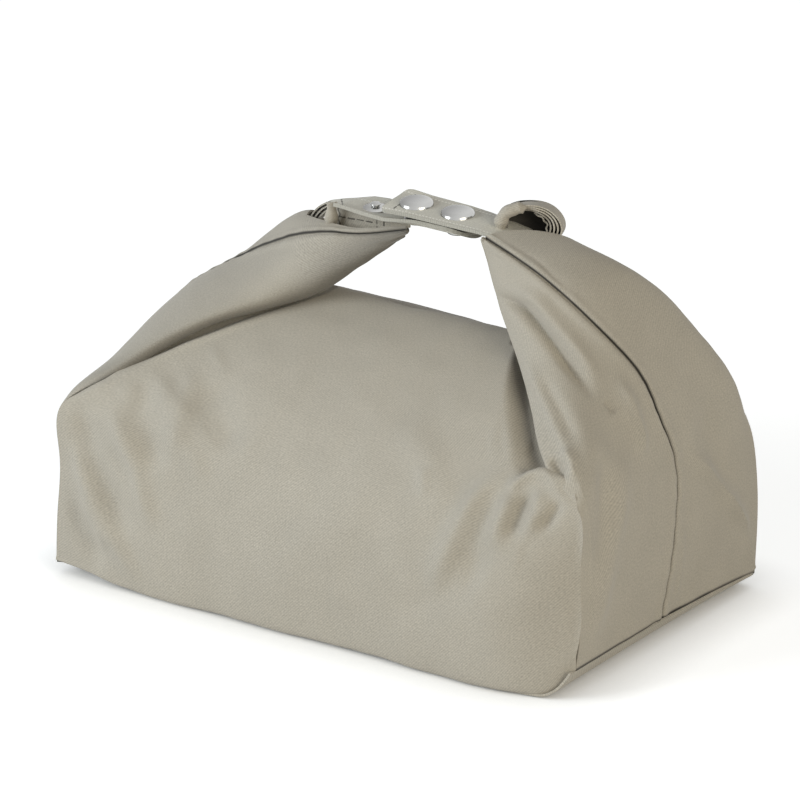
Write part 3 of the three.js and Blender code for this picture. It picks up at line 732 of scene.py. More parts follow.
def lining_film():
    """Silver film: crinkled, soft metal gloss."""
    if "silver_film" in bpy.data.materials:
        return bpy.data.materials["silver_film"]
    material, tree, shader = new_material("silver_film")
    place = add(tree, "TexCoord", {})
    crinkle = add(tree, "TexNoise", {"Vector": place["Object"], "Scale": 90.0, "Detail": 3.0})["Fac"]
    wire(tree, shader, {"Normal": bumped(tree, crinkle, 0.35, 0.002),
                        "Roughness": ranged(tree, crinkle, 0.22, 0.42)})
    shader.inputs["Base Color"].default_value = (*bpy.context.scene.lunch_bag_colours.lining, 1)
    shader.inputs["Metallic"].default_value = 0.85
    return material


def foam_material():
    """White closed-cell foam with fine pores."""
    if "white_foam" in bpy.data.materials:
        return bpy.data.materials["white_foam"]
    material, tree, shader = new_material("white_foam")
    place = add(tree, "TexCoord", {})
    pores = add(tree, "TexVoronoi", {"Vector": place["Object"], "Scale": 900.0})["Distance"]
    wire(tree, shader, {"Normal": bumped(tree, pores, 0.3, 0.0005)})
    shader.inputs["Base Color"].default_value = (*bpy.context.scene.lunch_bag_colours.foam, 1)
    shader.inputs["Roughness"].default_value = 0.85
    return material


def shell_piece(name, grids, shades, thickness, place_on, nodes):
    """Piece of shell cloth, placed by place_on, with the CAD nodes that it stands for hidden."""
    piece = cloth_piece(name, grids, shell_cloth(), shades, thickness)
    place_on(piece)
    if nodes:
        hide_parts(*nodes)
    declare_sheet(grids)


def foam_board(name, node, grid, place_on):
    """Board of foam under the cloth, placed by place_on, with its CAD node hidden."""
    piece = cloth_piece(name, [offset_grid(grid, FOAM_DEPTH)], foam_material(), thickness=FOAM_THICK)
    place_on(piece)
    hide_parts(node)


def lining_piece(name, node, grid, place_on):
    """Sheet of silver film on the inside of the wall."""
    piece = cloth_piece(name, [grid], lining_film(), thickness=FILM_THICK)
    place_on(piece)
    declare_sheet([grid])
    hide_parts(node)


def spun_piece(name, node, profile, material, body):
    """Turned metal piece in a CAD node's place; the profile gives shares of the node's radius and height."""
    low, high = (Vector(corner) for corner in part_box(node))
    radius = (high.x - low.x) / 2
    middle = (low + high) / 2
    bm = bmesh.new()
    tall = high.z - low.z
    verts = [bm.verts.new((middle.x + r * radius, middle.y, low.z + h * tall)) for r, h in profile]
    edges = [bm.edges.new(pair) for pair in zip(verts, verts[1:])]
    bmesh.ops.spin(bm, geom=verts + edges, cent=middle, axis=(0, 0, 1), angle=2 * math.pi, steps=48,
                   use_merge=True)
    bmesh.ops.remove_doubles(bm, verts=bm.verts, dist=1e-6)
    bmesh.ops.recalc_face_normals(bm, faces=bm.faces)
    for face in bm.faces:
        face.smooth = True
    piece = finish_mesh(name, bm, material)
    edge = piece.modifiers.new("edges", "EDGE_SPLIT")
    edge.split_angle = math.radians(50)
    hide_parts(node)
    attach(piece, body)


def ride_body(piece):
    """Lets a piece ride on the tub."""
    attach(piece, "body")


def rolled_grid(stations, sides, widths, heights, rows):
    """Flattened spiral of cloth along a path, from outer edge to inner; sides point along its width."""
    places = np.linspace(0, len(stations) - 1, rows)
    middle = along_curve(stations, places)
    way = np.gradient(middle, axis=0)
    way /= np.linalg.norm(way, axis=1, keepdims=True)
    side = along_curve(sides, places)
    side -= way * (side * way).sum(axis=1, keepdims=True)
    side /= np.linalg.norm(side, axis=1, keepdims=True)
    up = np.cross(way, side)
    turn = np.linspace(0, 2 * math.pi * ROLL_TURNS, int(34 * ROLL_TURNS))
    size = 1 - (1 - ROLL_TIGHT) * turn / turn[-1]
    half_wide = along_curve(widths, places)[:, None] / 2 * size
    half_high = along_curve(heights, places)[:, None] / 2 * size
    across = (half_wide * np.cos(turn))[..., None] * side[:, None]
    over = (half_high * np.sin(turn))[..., None] * up[:, None]
    return middle[:, None] + across + over


def curl_place(angle, size, ahead):
    """Places at an angle and a share of the size on the right roll's curled end, moved along its opening."""
    wide, high, way = (np.array(item) for item in (CURL_WIDE, CURL_HIGH, CURL_OPEN))
    across = (size * CURL_HALF[0] * np.cos(angle))[..., None] * wide
    up = (size * CURL_HALF[1] * np.sin(angle))[..., None] * high
    return np.array(CURL_MIDDLE) + (across + up) + np.asarray(ahead)[..., None] * way


def curl_grids():
    """Nested layers of the right roll's open end, the rounded lip on its left and a dark disc inside that
    stands for shade; also their masks of painted shade.
    """
    turns = np.linspace(-0.14, 4.2, 260)
    angle = 2 * math.pi * turns
    right = 0.5 + 0.5 * np.cos(angle)
    size = right * (1 - 0.115 * turns) + (1 - right) * (0.80 - 0.035 * turns)
    size = size + 0.03 * np.sin(11 * angle) * smooth((turns - 3.1) / 0.4)
    wave = 0.5 * np.sin(5 * angle + turns)
    ahead = np.linspace(-13, 0, 12)[:, None] + wave[None, :] - 0.35 * turns[None, :]
    layers = curl_place(np.broadcast_to(angle, ahead.shape), np.broadcast_to(size, ahead.shape), ahead)
    around = np.radians(np.linspace(212, 90, 60))
    middle = curl_place(around, np.full(60, 0.83), np.zeros(60))
    radial = middle - np.array(CURL_MIDDLE)
    radial /= np.linalg.norm(radial, axis=1, keepdims=True)
    part = np.linspace(0, 1, 60)
    thick = 0.5 + 2.2 * smooth(part / 0.35) * smooth((1 - part) / 0.12)
    thick = thick * (1 + 0.08 * np.sin(around * 9))
    turn = np.radians(np.linspace(-110, 200, 26))[None, :, None]
    lip = middle[:, None] + thick[:, None, None] * (np.cos(turn) * radial[:, None]
                                                    + np.sin(turn) * np.array(CURL_OPEN))
    share, way = np.meshgrid(np.linspace(0.001, 0.97, 8), np.linspace(0, 2 * math.pi, 48))
    inside = curl_place(way, share, -9 - 3 * (1 - share))
    # Painted shade on the inner turns that deepens into the roll, and a dark disc inside it for the shade of
    # the hollow.
    depth = smooth((4 - ahead) / 12) * smooth((turns - 2.6) / 0.6)
    shades = [depth[:, ::-1], np.zeros(lip.shape[:2]), np.full(share.shape, 0.95)]
    return [layers[:, ::-1], lip, inside], shades


def pocket_grids():
    """Slanted ends of the left roll's layers, seen beside the left strap."""
    low, high = np.array((-45.9, 0, 145.0)), np.array((-37.2, 0.5, 154.0))
    way = np.array((-0.45, 0.8, -0.4))
    part = np.linspace(0, 1, 16)
    bow = np.sin(math.pi * part)[:, None] * np.array((-0.8, 0, 0.8))
    grids = []
    for number in range(3):
        shift = np.array((1.7 * number, -0.3 * number, -0.5 * number))
        line = low + part[:, None] * (high - low) + bow + shift
        grids.append(line[:, None] + np.linspace(0, 13, 8)[None, :, None] * way)
    return grids


def facing_grids():
    """Facing under the left strap, and the fold of cloth where the strap turns down into the arm."""
    x, part = np.meshgrid(np.linspace(-33, 4, 150), np.linspace(0, 1, 60))
    z = 155.8 - (1 - part) * np.interp(x, (-33, -14, 4), (11.3, 9.5, 2.0))
    y = -3.5 + 0.5 * np.sin(x / 3.2) * np.exp(-((x + 30) / 9) ** 2)
    panel = np.stack((x, y, z), axis=2)
    part = np.linspace(0, 1, 22)
    line = np.array((-29.2, -9.2, 159.2)) + part[:, None] * np.array((-2.6, 3.4, -11.5))
    turn = np.radians(np.linspace(-200, 20, 24))[None, :, None]
    wide = (2.3 - 0.5 * np.sin(part * 7))[:, None, None]
    fold = line[:, None] + wide * (np.cos(turn) * np.array((0.831, 0.556, 0))
                                   + np.sin(turn) * np.array((-0.55, 0.82, -0.1)))
    # Marks on the facing: a dashed stitch row, two dashed dark lines down it, and a wavy dark line at its
    # left edge that is painted shade in the crease beside the fold.
    row = (np.abs(z - 151.6 - 0.05 * (x + 25)) < 0.3) & (x < -13) & (np.mod(x, 4.2) < 3.2)
    column = ((np.abs(x + 11.5) < 0.3) | (np.abs(x + 8.2) < 0.3)) & (np.mod(z, 3.1) < 2.3)
    edge = np.abs(x + 29.5 + 0.5 * np.sin(z * 1.6)) < 0.4
    return [panel, fold[::-1]], [0.8 * (row | column | edge), np.zeros(fold.shape[:2])]


def rounded_end(y, half, corner):
    """How far a strap's end is cut back at each Y by its rounded corners."""
    return corner - np.sqrt(corner ** 2 - np.clip(np.abs(y) - half + corner, 0, corner) ** 2)


def strap_grid(half, ends, stations, tops):
    """Top face of a strap whose two ends give their X for an array of Y."""
    y = np.linspace(-half, half, 43)
    start, stop = (end(y) for end in ends)
    x = start[:, None] + (stop - start)[:, None] * np.linspace(0, 1, 100)
    edge = (y / half)[:, None]
    front, middle, back = (np.interp(x, stations, top) for top in tops)
    z = middle + np.where(edge < 0, (front - middle) * edge ** 2, (back - middle) * edge ** 2)
    return np.stack((x, np.broadcast_to(y[:, None], x.shape), z), axis=2)


def round_rise(x):
    """Share of the height that the base cloth has risen to as it rounds up to the right end seam."""
    return np.clip((x - 105) / 15, 0, 1) ** 2.5


def base_lift(x):
    """Height to which the base cloth is drawn up towards its end seams."""
    return 12 * round_rise(x) + 5 * smooth((-70 - x) / 62)


def panel_profile(profile, runs):
    """Places of a panel's rows along its profile, and the Y and Z there."""
    places = np.unique(np.concatenate([np.linspace(*run) for run in runs]))
    middle = along_curve(profile, places)
    return places, middle[:, 0], middle[:, 1]


def panel_side(net, rail, top, height):
    """X and Y of a panel's side: along its end's rail, and above that in X along the line for its top."""
    edge = loft(net, (rail,), np.linspace(0, 3, 40))[:, 0]
    x = np.interp(height, edge[:, 2], edge[:, 0])
    x = np.where(height > top[0][0], np.interp(height, *top), x)
    return x, np.interp(height, edge[:, 2], edge[:, 1])


def panel_spread(places, left, right, share):
    """X of each place of a panel between its two sides, narrower on the flange under the base."""
    left = np.where(places < FLANGE_PLACE, FLANGE_X[0], left)
    right = np.where(places < FLANGE_PLACE, FLANGE_X[1], right)
    return left[:, None] + (right - left)[:, None] * share


def front_grid():
    """Front panel, from under the base to just behind the crest."""
    places, y_mid, z_mid = panel_profile(FRONT_PROFILE, FRONT_ROWS)
    x_left, y_left = panel_side(LEFT_NET, 0, FRONT_LEFT_TOP, z_mid)
    x_right, y_right = panel_side(RIGHT_NET, 0, FRONT_RIGHT_TOP, z_mid)
    crest = places > CREST_PLACE
    taper = smooth((places - CREST_PLACE) / 4)
    x_left = np.where(crest, -48 + 12 * taper, x_left)
    x_right = np.where(crest, 75 - 8 * taper, x_right)
    low = smooth((z_mid - 0.4) / 4)
    bow_left = np.where(crest, 0, (y_left - y_mid) * low * smooth((104 - z_mid) / 30))
    bow_right = np.where(crest, 0, np.maximum(y_right - y_mid, 0) * smooth((100 - z_mid) / 16))
    x = panel_spread(places, x_left, x_right, np.linspace(0, 1, FRONT_COLUMNS))
    y = y_mid[:, None] + bow_left[:, None] * np.clip(-x / 118, 0, 1) ** 3
    y = y + bow_right[:, None] * np.clip((x - 82) / 38, 0, 1) ** 2.2
    z = z_mid[:, None] + base_lift(x) * np.clip(1 - z_mid / 45, 0, 1)[:, None] ** 2
    edge = np.interp(z_mid, PIT_HEIGHTS, PIT_EDGE)[:, None]
    edge = np.where(crest[:, None], PIT_EDGE[-1] - 2, edge)
    wide = np.interp(z_mid, PIT_HEIGHTS, PIT_WIDTH)[:, None]
    over_lip = z_mid[:, None] - np.interp(x, LIP_X, LIP_HEIGHT)
    pit = PIT_DEPTH * smooth((x - edge + wide) / (0.85 * wide)) * smooth(over_lip / 2.6)
    pit = pit * smooth((17.5 - places) / 2.5)[:, None]
    lip = LIP_RISE * np.exp(-((over_lip + 1.4) / 2.2) ** 2) * smooth((x - 86) / 6) * smooth((116 - x) / 8)
    tuck = EDGE_TUCK * smooth((x - edge + 2) / 5) * smooth((z_mid - 79) / 4)[:, None]
    fold = np.interp(z_mid, *FRONT_LEFT_FOLD)[:, None]
    under = EDGE_TUCK * smooth((z_mid - 74) / 5)[:, None] * smooth((fold - x) / 4)
    return offset_grid(np.stack((x, y, z), axis=2), pit + tuck + under - lip)


def front_folds():
    """Front panel with its folds and drag lines."""
    grid = front_grid()
    hold = held_edges(grid, 76)
    grid = pressed(ripple(grid, 42, 0.8, 1, hold), FRONT_FOLDS, hold)
    grid = streaked(grid, LEFT_DRAG, 0.25, 10, 58, 2.6, 7, hold)
    return streaked(grid, RIGHT_DRAG, -0.5, 8, 42, 2.3, 12, hold)


def under_front():
    """Front panel without its sharp folds and a little deeper, for what lies under the cloth."""
    return offset_grid(softened(front_folds(), 12), UNDER_DEPTH)


def back_grid():
    """Back panel, from under the base to the roll."""
    places, y_mid, z_mid = panel_profile(BACK_PROFILE, BACK_ROWS)
    x_left, y_left = panel_side(LEFT_NET, LAST_RAIL, BACK_LEFT_TOP, z_mid)
    x_right, y_right = panel_side(RIGHT_NET, LAST_RAIL, BACK_RIGHT_TOP, z_mid)
    fade = smooth((z_mid - 0.4) / 4) * smooth((100 - z_mid) / 24)
    x = panel_spread(places, x_left, x_right, np.linspace(1, 0, BACK_COLUMNS))
    y = y_mid[:, None] + ((y_left - y_mid) * fade)[:, None] * np.clip(-x / 118, 0, 1) ** 4
    y = y + ((y_right - y_mid) * fade)[:, None] * np.clip(x / 118, 0, 1) ** 4
    z = z_mid[:, None] + base_lift(x) * 0.6 * np.clip(1 - z_mid / 45, 0, 1)[:, None] ** 2
    right_fold = np.interp(z_mid, *BACK_RIGHT_FOLD)[:, None]
    left_fold = np.interp(z_mid, *BACK_LEFT_FOLD)[:, None]
    fold = np.where(x > 0, right_fold, left_fold)
    under = BACK_TUCK * smooth((np.abs(x) - fold + 1) / 5) * smooth((z_mid - 73) / 4)[:, None]
    return offset_grid(np.stack((x, y, z), axis=2), under)


def seam_places(step):
    """Places across an end's net, evenly spaced and closer together about the seam's rail."""
    even = np.arange(0, LAST_RAIL + 1e-6, step)
    close = SEAM_RAIL + np.concatenate((-np.array(SEAM_STEPS)[::-1], [0], SEAM_STEPS))
    even = even[(even < close[0] - step / 2) | (even > close[-1] + step / 2)]
    return np.sort(np.concatenate((even, close)))


def seam_grid(net, along, step):
    """Smooth end and arm, and the distance of each place from the side seam."""
    across = seam_places(step)
    grid = loft(net, across, along)
    wide = np.linalg.norm(np.gradient(grid, axis=1), axis=2) / np.gradient(across)[None, :]
    return grid, np.abs(across - SEAM_RAIL)[None, :] * wide


def sink_seam(grid, off, sense, depth):
    """Draws the cloth in along a seam, with a soft pucker on each side of it; also gives the seam's mask."""
    groove = np.exp(-(off / 0.6) ** 2)
    run = flat_lengths(grid)[1]
    pucker = 0.16 * np.sin(run / 1.5)[:, None] * np.exp(-((off - 2.2) / 2.0) ** 2)
    swell = 0.5 * np.exp(-((off - 2.6) / 1.8) ** 2)
    return raised(grid, sense * (swell + pucker - depth * groove)), np.exp(-(off / 0.42) ** 4)


def hemmed(grid, shade, sense, radius, turn, strip, reach, power):
    """End and arm with its fold and a strip behind it, and its mask with the base seam's shade."""
    grid = folded_edge(grid, sense, np.maximum(radius, LEAST_RADIUS), turn, strip)
    shade = np.concatenate((np.zeros((len(grid), CURL_STEPS + STRIP_STEPS)), shade), axis=1)
    low = np.linalg.norm(grid - grid[:1], axis=2)
    return grid, np.maximum(shade, np.exp(-(low / reach) ** power))


class LUNCHBAG_OT_stage(bpy.types.Operator):
    """Make the floor, lights and camera"""
    bl_idname = "lunchbag.stage"
    bl_label = "Stage"

    def execute(self, context):
        scene = context.scene
        scene.view_settings.view_transform = "Standard"
        bm = bmesh.new()
        bmesh.ops.create_grid(bm, x_segments=4, y_segments=4, size=6)
        material, tree, shader = new_material("studio_floor")
        # Painted contact shadow: ambient occlusion dims the floor's glow near the bag.
        near = add(tree, "AmbientOcclusion", {"Distance": CONTACT_REACH})["AO"]
        glow = calc(tree, "MULTIPLY", calc(tree, "MULTIPLY", white_rays(tree), FLOOR_GLOW), near)
        wire(tree, shader, {"Emission Strength": glow})
        shader.inputs["Emission Color"].default_value = FLOOR_GLOW_COLOUR
        shader.inputs["Base Color"].default_value = FLOOR_COLOUR
        shader.inputs["Roughness"].default_value = 0.9
        shader.inputs["Specular IOR Level"].default_value = 0.0
        finish_mesh("floor", bm, material)
        world = bpy.data.worlds.new("studio")
        world.use_nodes = True
        scene.world = world
        tree = world.node_tree
        back = next(node for node in tree.nodes if node.type == "BACKGROUND")
        level = ranged(tree, white_rays(tree), WORLD_LEVEL, 1.0)
        wire(tree, back, {"Color": (1, 1, 1, 1), "Strength": level})
        for name, place, size, power, tint in LAMPS:
            light = bpy.data.lights.new(name, "AREA")
            light.color = tint
            light.size = size
            light.energy = power
            lamp = bpy.data.objects.new(name, light)
            lamp.location = place
            lamp.rotation_euler = (Vector(LAMP_TARGET) - Vector(place)).to_track_quat("-Z", "Y").to_euler()
            context.collection.objects.link(lamp)
        view = bpy.data.cameras.new("camera")
        view.lens = CAMERA_LENS
        view.sensor_width = 36.0
        view.clip_end = 50.0
        camera = bpy.data.objects.new("camera", view)
        back_way = Vector(CAMERA_WAY).normalized()
        camera.location = Vector(CAMERA_TARGET) * MM + back_way * CAMERA_DISTANCE
        camera.rotation_euler = (-back_way).to_track_quat("-Z", "Y").to_euler()
        context.collection.objects.link(camera)
        scene.camera = camera
        return {"FINISHED"}


class LUNCHBAG_OT_front(bpy.types.Operator):
    """Make the front panel of the shell"""
    bl_idname = "lunchbag.front"
    bl_label = "Front panel"

    def execute(self, context):
        shell_piece("front_cloth", [front_folds()], None, context.scene.lunch_bag_sizes.cloth,
                    lambda piece: bend(piece), ("front_flap_outer", "outer_tub"))
        return {"FINISHED"}


class LUNCHBAG_OT_back(bpy.types.Operator):
    """Make the back panel of the shell"""
    bl_idname = "lunchbag.back"
    bl_label = "Back panel"

    def execute(self, context):
        grid = back_grid()
        grid = ripple(grid, 42, 0.9, 2, held_edges(grid, 76))
        shell_piece("back_cloth", [grid], None, context.scene.lunch_bag_sizes.cloth,
                    lambda piece: bend(piece), ("back_flap_outer",))
        return {"FINISHED"}


class LUNCHBAG_OT_base(bpy.types.Operator):
    """Make the base cloth with its drawn-up ends"""
    bl_idname = "lunchbag.base"
    bl_label = "Base"

    def execute(self, context):
        x = np.concatenate((-np.linspace(120, 70, 24), np.linspace(-64, 104, 28),
                            107 + 13 * np.sin(np.linspace(0, math.pi / 2, 22))))
        y = np.linspace(70, -70, 60)
        right_seam = np.interp(y, (-60, -38, 4, 42, 72), (12, 11.6, 10.6, 8.5, 6))
        left_seam = np.interp(y, (-72, 0, 72), (5, 8, 5))
        rise = np.where(x > 0, round_rise(x), base_lift(x) / base_lift(-120))
        z = 0.7 + rise * (np.where(x > 0, right_seam[:, None], left_seam[:, None]) - 0.7)
        front = 1 - 0.085 * np.clip((x - 84) / 36, 0, 1)[None, :] ** 2 * (y[:, None] < 0)
        grid = np.stack((np.broadcast_to(x, z.shape), y[:, None] * front, z), axis=2)
        shell_piece("base_cloth", [grid], None, context.scene.lunch_bag_sizes.cloth, ride_body, ())
        return {"FINISHED"}


class LUNCHBAG_OT_right(bpy.types.Operator):
    """Make the right end and arm"""
    bl_idname = "lunchbag.right"
    bl_label = "Right arm"

    def execute(self, context):
        size = context.scene.lunch_bag_sizes
        along = np.linspace(0, 8, 225)
        grid, off = seam_grid(RIGHT_NET, along, RIGHT_STEP)
        hold = held_edges(grid, 76) * smooth((7.9 - along) / 0.8)[:, None]
        grid = pressed(ripple(grid, 38, 0.7, 3, hold), RIGHT_FOLDS, hold)
        grid, shade = sink_seam(grid, off, 1, size.seam_depth / MM)
        strip = 3 + 12 * smooth((along - 3.8) / 0.6) * smooth((7.6 - along) / 1.2)
        strip = strip - 2.8 * smooth((along - 7.2) / 0.7) - 2.6 * smooth((0.8 - along) / 0.6)
        turn = 1.9 + 0.6 * smooth((along - 3.6) / 0.6)
        grid, shade = hemmed(grid, shade, 1, along_curve(RIGHT_FOLD_RADII, along), turn, strip, 1.1, 4)
        shell_piece("right_cloth", [grid], [shade], size.cloth, lambda piece: bend(piece),
                    ("right_arm_outer",))
        return {"FINISHED"}


class LUNCHBAG_OT_left(bpy.types.Operator):
    """Make the left end and arm, and the arm's tip"""
    bl_idname = "lunchbag.left"
    bl_label = "Left arm"

    def execute(self, context):
        size = context.scene.lunch_bag_sizes
        along = np.arange(0, 10 + 1e-6, LEFT_STEP)
        grid, off = seam_grid(LEFT_NET, along, LEFT_STEP)
        hold = held_edges(grid, 70) * smooth((9.8 - along) / 0.8)[:, None]
        grid, shade = sink_seam(ripple(grid, 38, -0.7, 4, hold), off, -1, size.seam_depth / MM)
        strip = 3 + 2 * smooth((along - 4.6) / 1.2) * smooth((9.6 - along) / 1.4)
        strip = strip - 2.8 * smooth((along - 9) / 0.8)
        turn = 1.9 - 1.2 * smooth((along - 3.4) / 0.8)
        grid, shade = hemmed(grid, shade, -1, along_curve(LEFT_FOLD_RADII, along), turn, strip, 0.7, 2)
        added = CURL_STEPS + STRIP_STEPS
        lengths = row_lengths(grid)
        # Painted shade on the arm's face beside its front fold, from station 3.2 on and wider towards the
        # tip.
        wide = 6 + 9 * smooth((along - 6) / 2)
        fold_shade = 0.65 * np.exp(-((lengths - lengths[:, added:added + 1] + 1) / wide[:, None]) ** 2)
        shade = np.maximum(shade, fold_shade * smooth((along - 3.2) / 1.2)[:, None])
        cut = int(round(LEFT_TIP_START / LEFT_STEP))
        hem = int(np.searchsorted(seam_places(LEFT_STEP), LEFT_HEM_RAIL)) + added + 1
        shell_piece("left_cloth", [grid[:cut + 1, ::-1]], [shade[:cut + 1, ::-1]], size.cloth,
                    lambda piece: bend(piece), ("left_arm_outer",))
        shell_piece("left_tip_cloth", [grid[cut:, :hem][:, ::-1]], [shade[cut:, :hem][:, ::-1]], size.cloth,
                    lambda piece: bend(piece), ())
        return {"FINISHED"}


class LUNCHBAG_OT_foam(bpy.types.Operator):
    """Make the foam boards of the tub and of the two roof panels"""
    bl_idname = "lunchbag.foam"
    bl_label = "Foam"

    def execute(self, context):
        front, back = under_front(), back_grid()
        (y, z), (back_y, back_z) = front[:, FRONT_MIDDLE, 1:].T, back[:, BACK_MIDDLE, 1:].T
        low, high = TUB_HEIGHTS
        rails, stations = np.arange(0.9, 5.6, 0.1), np.arange(0.2, 2.8, 0.1)
        right = offset_grid(loft(RIGHT_NET, rails, stations), UNDER_DEPTH)
        left = loft(LEFT_NET, rails, stations)[:, ::-1]
        for name, node, grid in (
                ("foam_front_board", "foam_front", front[(z > low) & (z < high)][::2, 6:-10:3]),
                ("foam_back_board", "foam_back", back[(back_z > low) & (back_z < high)][::2, 6:-6:3]),
                ("foam_right_board", "foam_right", right), ("foam_left_board", "foam_left", left)):
            foam_board(name, node, grid, ride_body)
        roof_front = front[(z > ROOF_LOW) & (y < -16)][::2, 8:-24:3]
        roof_back = back[(back_z > ROOF_LOW) & (back_y > 27)][::2, 8:-8:3]
        for side, grid in (("front", roof_front), ("back", roof_back)):
            foam_board(f"{side}_roof_board", f"{side}_flap_foam", grid, lambda piece: bend(piece))
        x, y = np.meshgrid(np.linspace(-106, 106, 40), np.linspace(66, -66, 24))
        foam_board("foam_base_board", "foam_base", np.stack((x, y, 0.4 + 0 * x), axis=2), ride_body)
        return {"FINISHED"}


class LUNCHBAG_OT_lining(bpy.types.Operator):
    """Make the silver lining"""
    bl_idname = "lunchbag.lining"
    bl_label = "Lining"

    def execute(self, context):
        front, back = under_front(), back_grid()
        (y, z), (back_y, back_z) = front[:, FRONT_MIDDLE, 1:].T, back[:, BACK_MIDDLE, 1:].T
        front = front[(z > FILM_LOW) & (y < -12)][::2, 3:-16:2]
        back = back[(back_z > FILM_LOW) & (back_y > 25)][::2, 3:-3:2]
        rails, along = np.arange(0.7, 5.9, 0.06), np.arange(0.15, 7.6, 0.08)
        right = pressed(loft(RIGHT_NET, rails, along), RIGHT_FOLDS)
        short = along < 6.9
        left = loft(LEFT_NET, rails, along[short])[:, ::-1]
        thin = (FILM_DEPTH - 2.4 * smooth((along - 3.0) / 0.8))[:, None]
        for side, node, grid, depth in (
                ("front", "front_flap_lining", front, FILM_DEPTH),
                ("back", "back_flap_lining", back, FILM_DEPTH),
                ("right", "right_arm_lining", right, thin),
                ("left", "left_arm_lining", left, thin[short])):
            lining_piece(f"{side}_film", node, offset_grid(grid, depth),
                         lambda piece: bend(piece))
        x, y = np.meshgrid(np.linspace(-110, 105, 60), np.linspace(-62, 66, 30))
        floor = np.stack((x, y, FILM_LOW + 0.2 * base_lift(x)), axis=2)
        lining_piece("base_film", "lining_tub", floor, ride_body)
        return {"FINISHED"}


class LUNCHBAG_OT_rolls(bpy.types.Operator):
    """Make the rolled mouth behind the crest and inside the arms"""
    bl_idname = "lunchbag.rolls"
    bl_label = "Rolled mouth"

    def execute(self, context):
        curl, curl_shades = curl_grids()
        mouth = rolled_grid(((-58, 9.5, 106.2), (0, 9.5, 106.8), (66, 9.5, 106.2)), ((0, 1, 0),) * 3,
                            (24,) * 3, (12,) * 3, 90)
        left = rolled_grid(((-63.2, 14, 116), (-59.5, 11.5, 124), (-54, 9.2, 131.5), (-48.5, 7, 137)),
                           ((0.2, 1, 0),) * 4, (23, 22, 20, 16), (11, 11, 10, 8), 70)
        right = rolled_grid(((76, 12, 116.2), (70.5, 12, 129), (65, 12.5, 140), (61, 12, 150)),
                            ((0.2, 1, 0), (0.3, 1, 0), (0.6, 0.8, 0), (0.83, 0.55, 0)), (20, 20, 19, 17),
                            (11, 11, 10, 9), 80)
        for node, body, rest, grids, shades in (
                ("mouth_roll", "back_flap", "back_cloth", [mouth], []),
                ("left_roll", "left_arm", "left_cloth", [left, *pocket_grids()], []),
                ("right_roll", "right_arm", "right_cloth", [right, *curl], curl_shades)):
            plain = [np.zeros(grid.shape[:2]) for grid in grids[:len(grids) - len(shades)]]
            shell_piece(f"{node}_cloth", grids, plain + shades, ROLL_THICK,
                        lambda piece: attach(piece, body), (node,))
        return {"FINISHED"}


class LUNCHBAG_OT_straps(bpy.types.Operator):
    """Make the two straps of the handle"""
    bl_idname = "lunchbag.straps"
    bl_label = "Straps"

    def execute(self, context):
        thick = context.scene.lunch_bag_sizes.strap_thickness
        low, high = (np.array(corner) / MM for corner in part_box("right_strap"))
        half = (high[1] - low[1]) / 2
        root = RIGHT_STRAP_X[-1]
        right = strap_grid(half, (lambda y: low[0] + rounded_end(y, half, STRAP_CORNER),
                                  lambda y: root + 0 * y), RIGHT_STRAP_X, RIGHT_STRAP_TOP)
        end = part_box("left_strap")[1][0] / MM
        left = strap_grid(half, (lambda y: np.interp(y, (-half, half), LEFT_STRAP_ROOT),
                                 lambda y: end - rounded_end(y, half, half)), LEFT_STRAP_X, LEFT_STRAP_TOP)
        left[..., 1] += LEFT_STRAP_SLANT * smooth((left[..., 0] + 6) / 20)
        for node, rest, grid in (("right_strap", "right_cloth", right), ("left_strap", "left_cloth", left)):
            # Painted shade on the strap's edges, which the wall and bevel carry down its sides.
            shade = np.zeros(grid.shape[:2])
            shade[[0, -1]] = STRAP_EDGE_SHADE
            shade[:, [0, -1]] = STRAP_EDGE_SHADE
            piece = cloth_piece(f"{node}_cloth", [grid], strap_cloth(), [shade], thick)
            rim = piece.modifiers.new("rim", "BEVEL")
            rim.width = STRAP_RIM
            rim.segments = 2
            rim.limit_method = "ANGLE"
            bend(piece)
            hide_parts(node)
            declare_sheet([grid])
        grids, shades = facing_grids()
        shell_piece("left_facing_cloth", grids, shades, FACING_THICK,
                    lambda piece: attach(piece, "left_strap"), ())
        return {"FINISHED"}


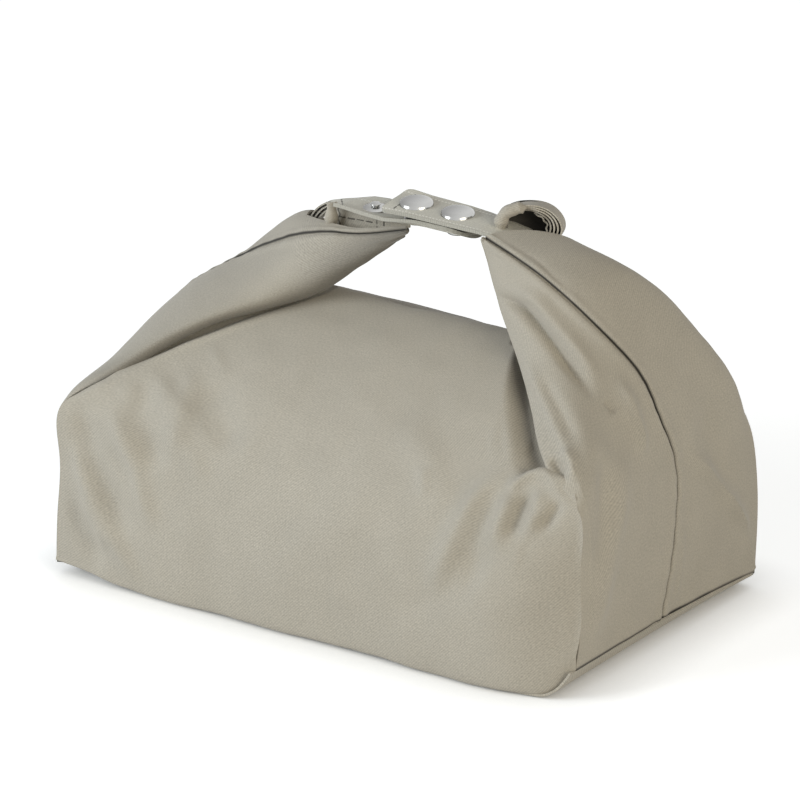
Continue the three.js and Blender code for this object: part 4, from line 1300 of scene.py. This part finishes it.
class LUNCHBAG_OT_snaps(bpy.types.Operator):
    """Make the snap caps, sockets, studs and rivets"""
    bl_idname = "lunchbag.snaps"
    bl_label = "Snaps"

    def execute(self, context):
        metal = snap_material()
        for strap, kinds, numbers in (
                ("right", (("cap", CAP_PROFILE), ("socket", SOCKET_PROFILE)), (1, 2)),
                ("left", (("stud", STUD_PROFILE), ("rivet", RIVET_PROFILE)), (1, 2, 3))):
            for number in numbers:
                for kind, profile in kinds:
                    spun_piece(f"{kind}_{number}", f"{strap}_snap_{kind}_{number}", profile, metal,
                               f"{strap}_strap")
        return {"FINISHED"}


class LUNCHBAG_PT_panel(bpy.types.Panel):
    """Lists the bag's pieces"""
    bl_idname = "LUNCHBAG_PT_panel"
    bl_label = "Lunch Bag"
    bl_space_type = "VIEW_3D"
    bl_region_type = "UI"
    bl_category = "Lunch Bag"

    def draw(self, context):
        for operator in OPERATORS:
            self.layout.operator(operator.bl_idname)


OPERATORS = (LUNCHBAG_OT_stage, LUNCHBAG_OT_front, LUNCHBAG_OT_back, LUNCHBAG_OT_base, LUNCHBAG_OT_right,
             LUNCHBAG_OT_left, LUNCHBAG_OT_foam, LUNCHBAG_OT_lining, LUNCHBAG_OT_rolls, LUNCHBAG_OT_straps,
             LUNCHBAG_OT_snaps)
CLASSES = (LunchBagSizes, LunchBagColours, *OPERATORS, LUNCHBAG_PT_panel)


def register():
    """Registers the classes and the scene's settings."""
    for item in CLASSES:
        bpy.utils.register_class(item)
    bpy.types.Scene.lunch_bag_sizes = bpy.props.PointerProperty(type=LunchBagSizes)
    bpy.types.Scene.lunch_bag_colours = bpy.props.PointerProperty(type=LunchBagColours)


def unregister():
    """Removes the scene's settings and the classes."""
    del bpy.types.Scene.lunch_bag_colours
    del bpy.types.Scene.lunch_bag_sizes
    for item in reversed(CLASSES):
        bpy.utils.unregister_class(item)


def main():
    """Makes the pieces in order."""
    register()
    for operator in OPERATORS:
        group, name = operator.bl_idname.split(".")
        getattr(getattr(bpy.ops, group), name)()


if __name__ == "__main__":
    main()
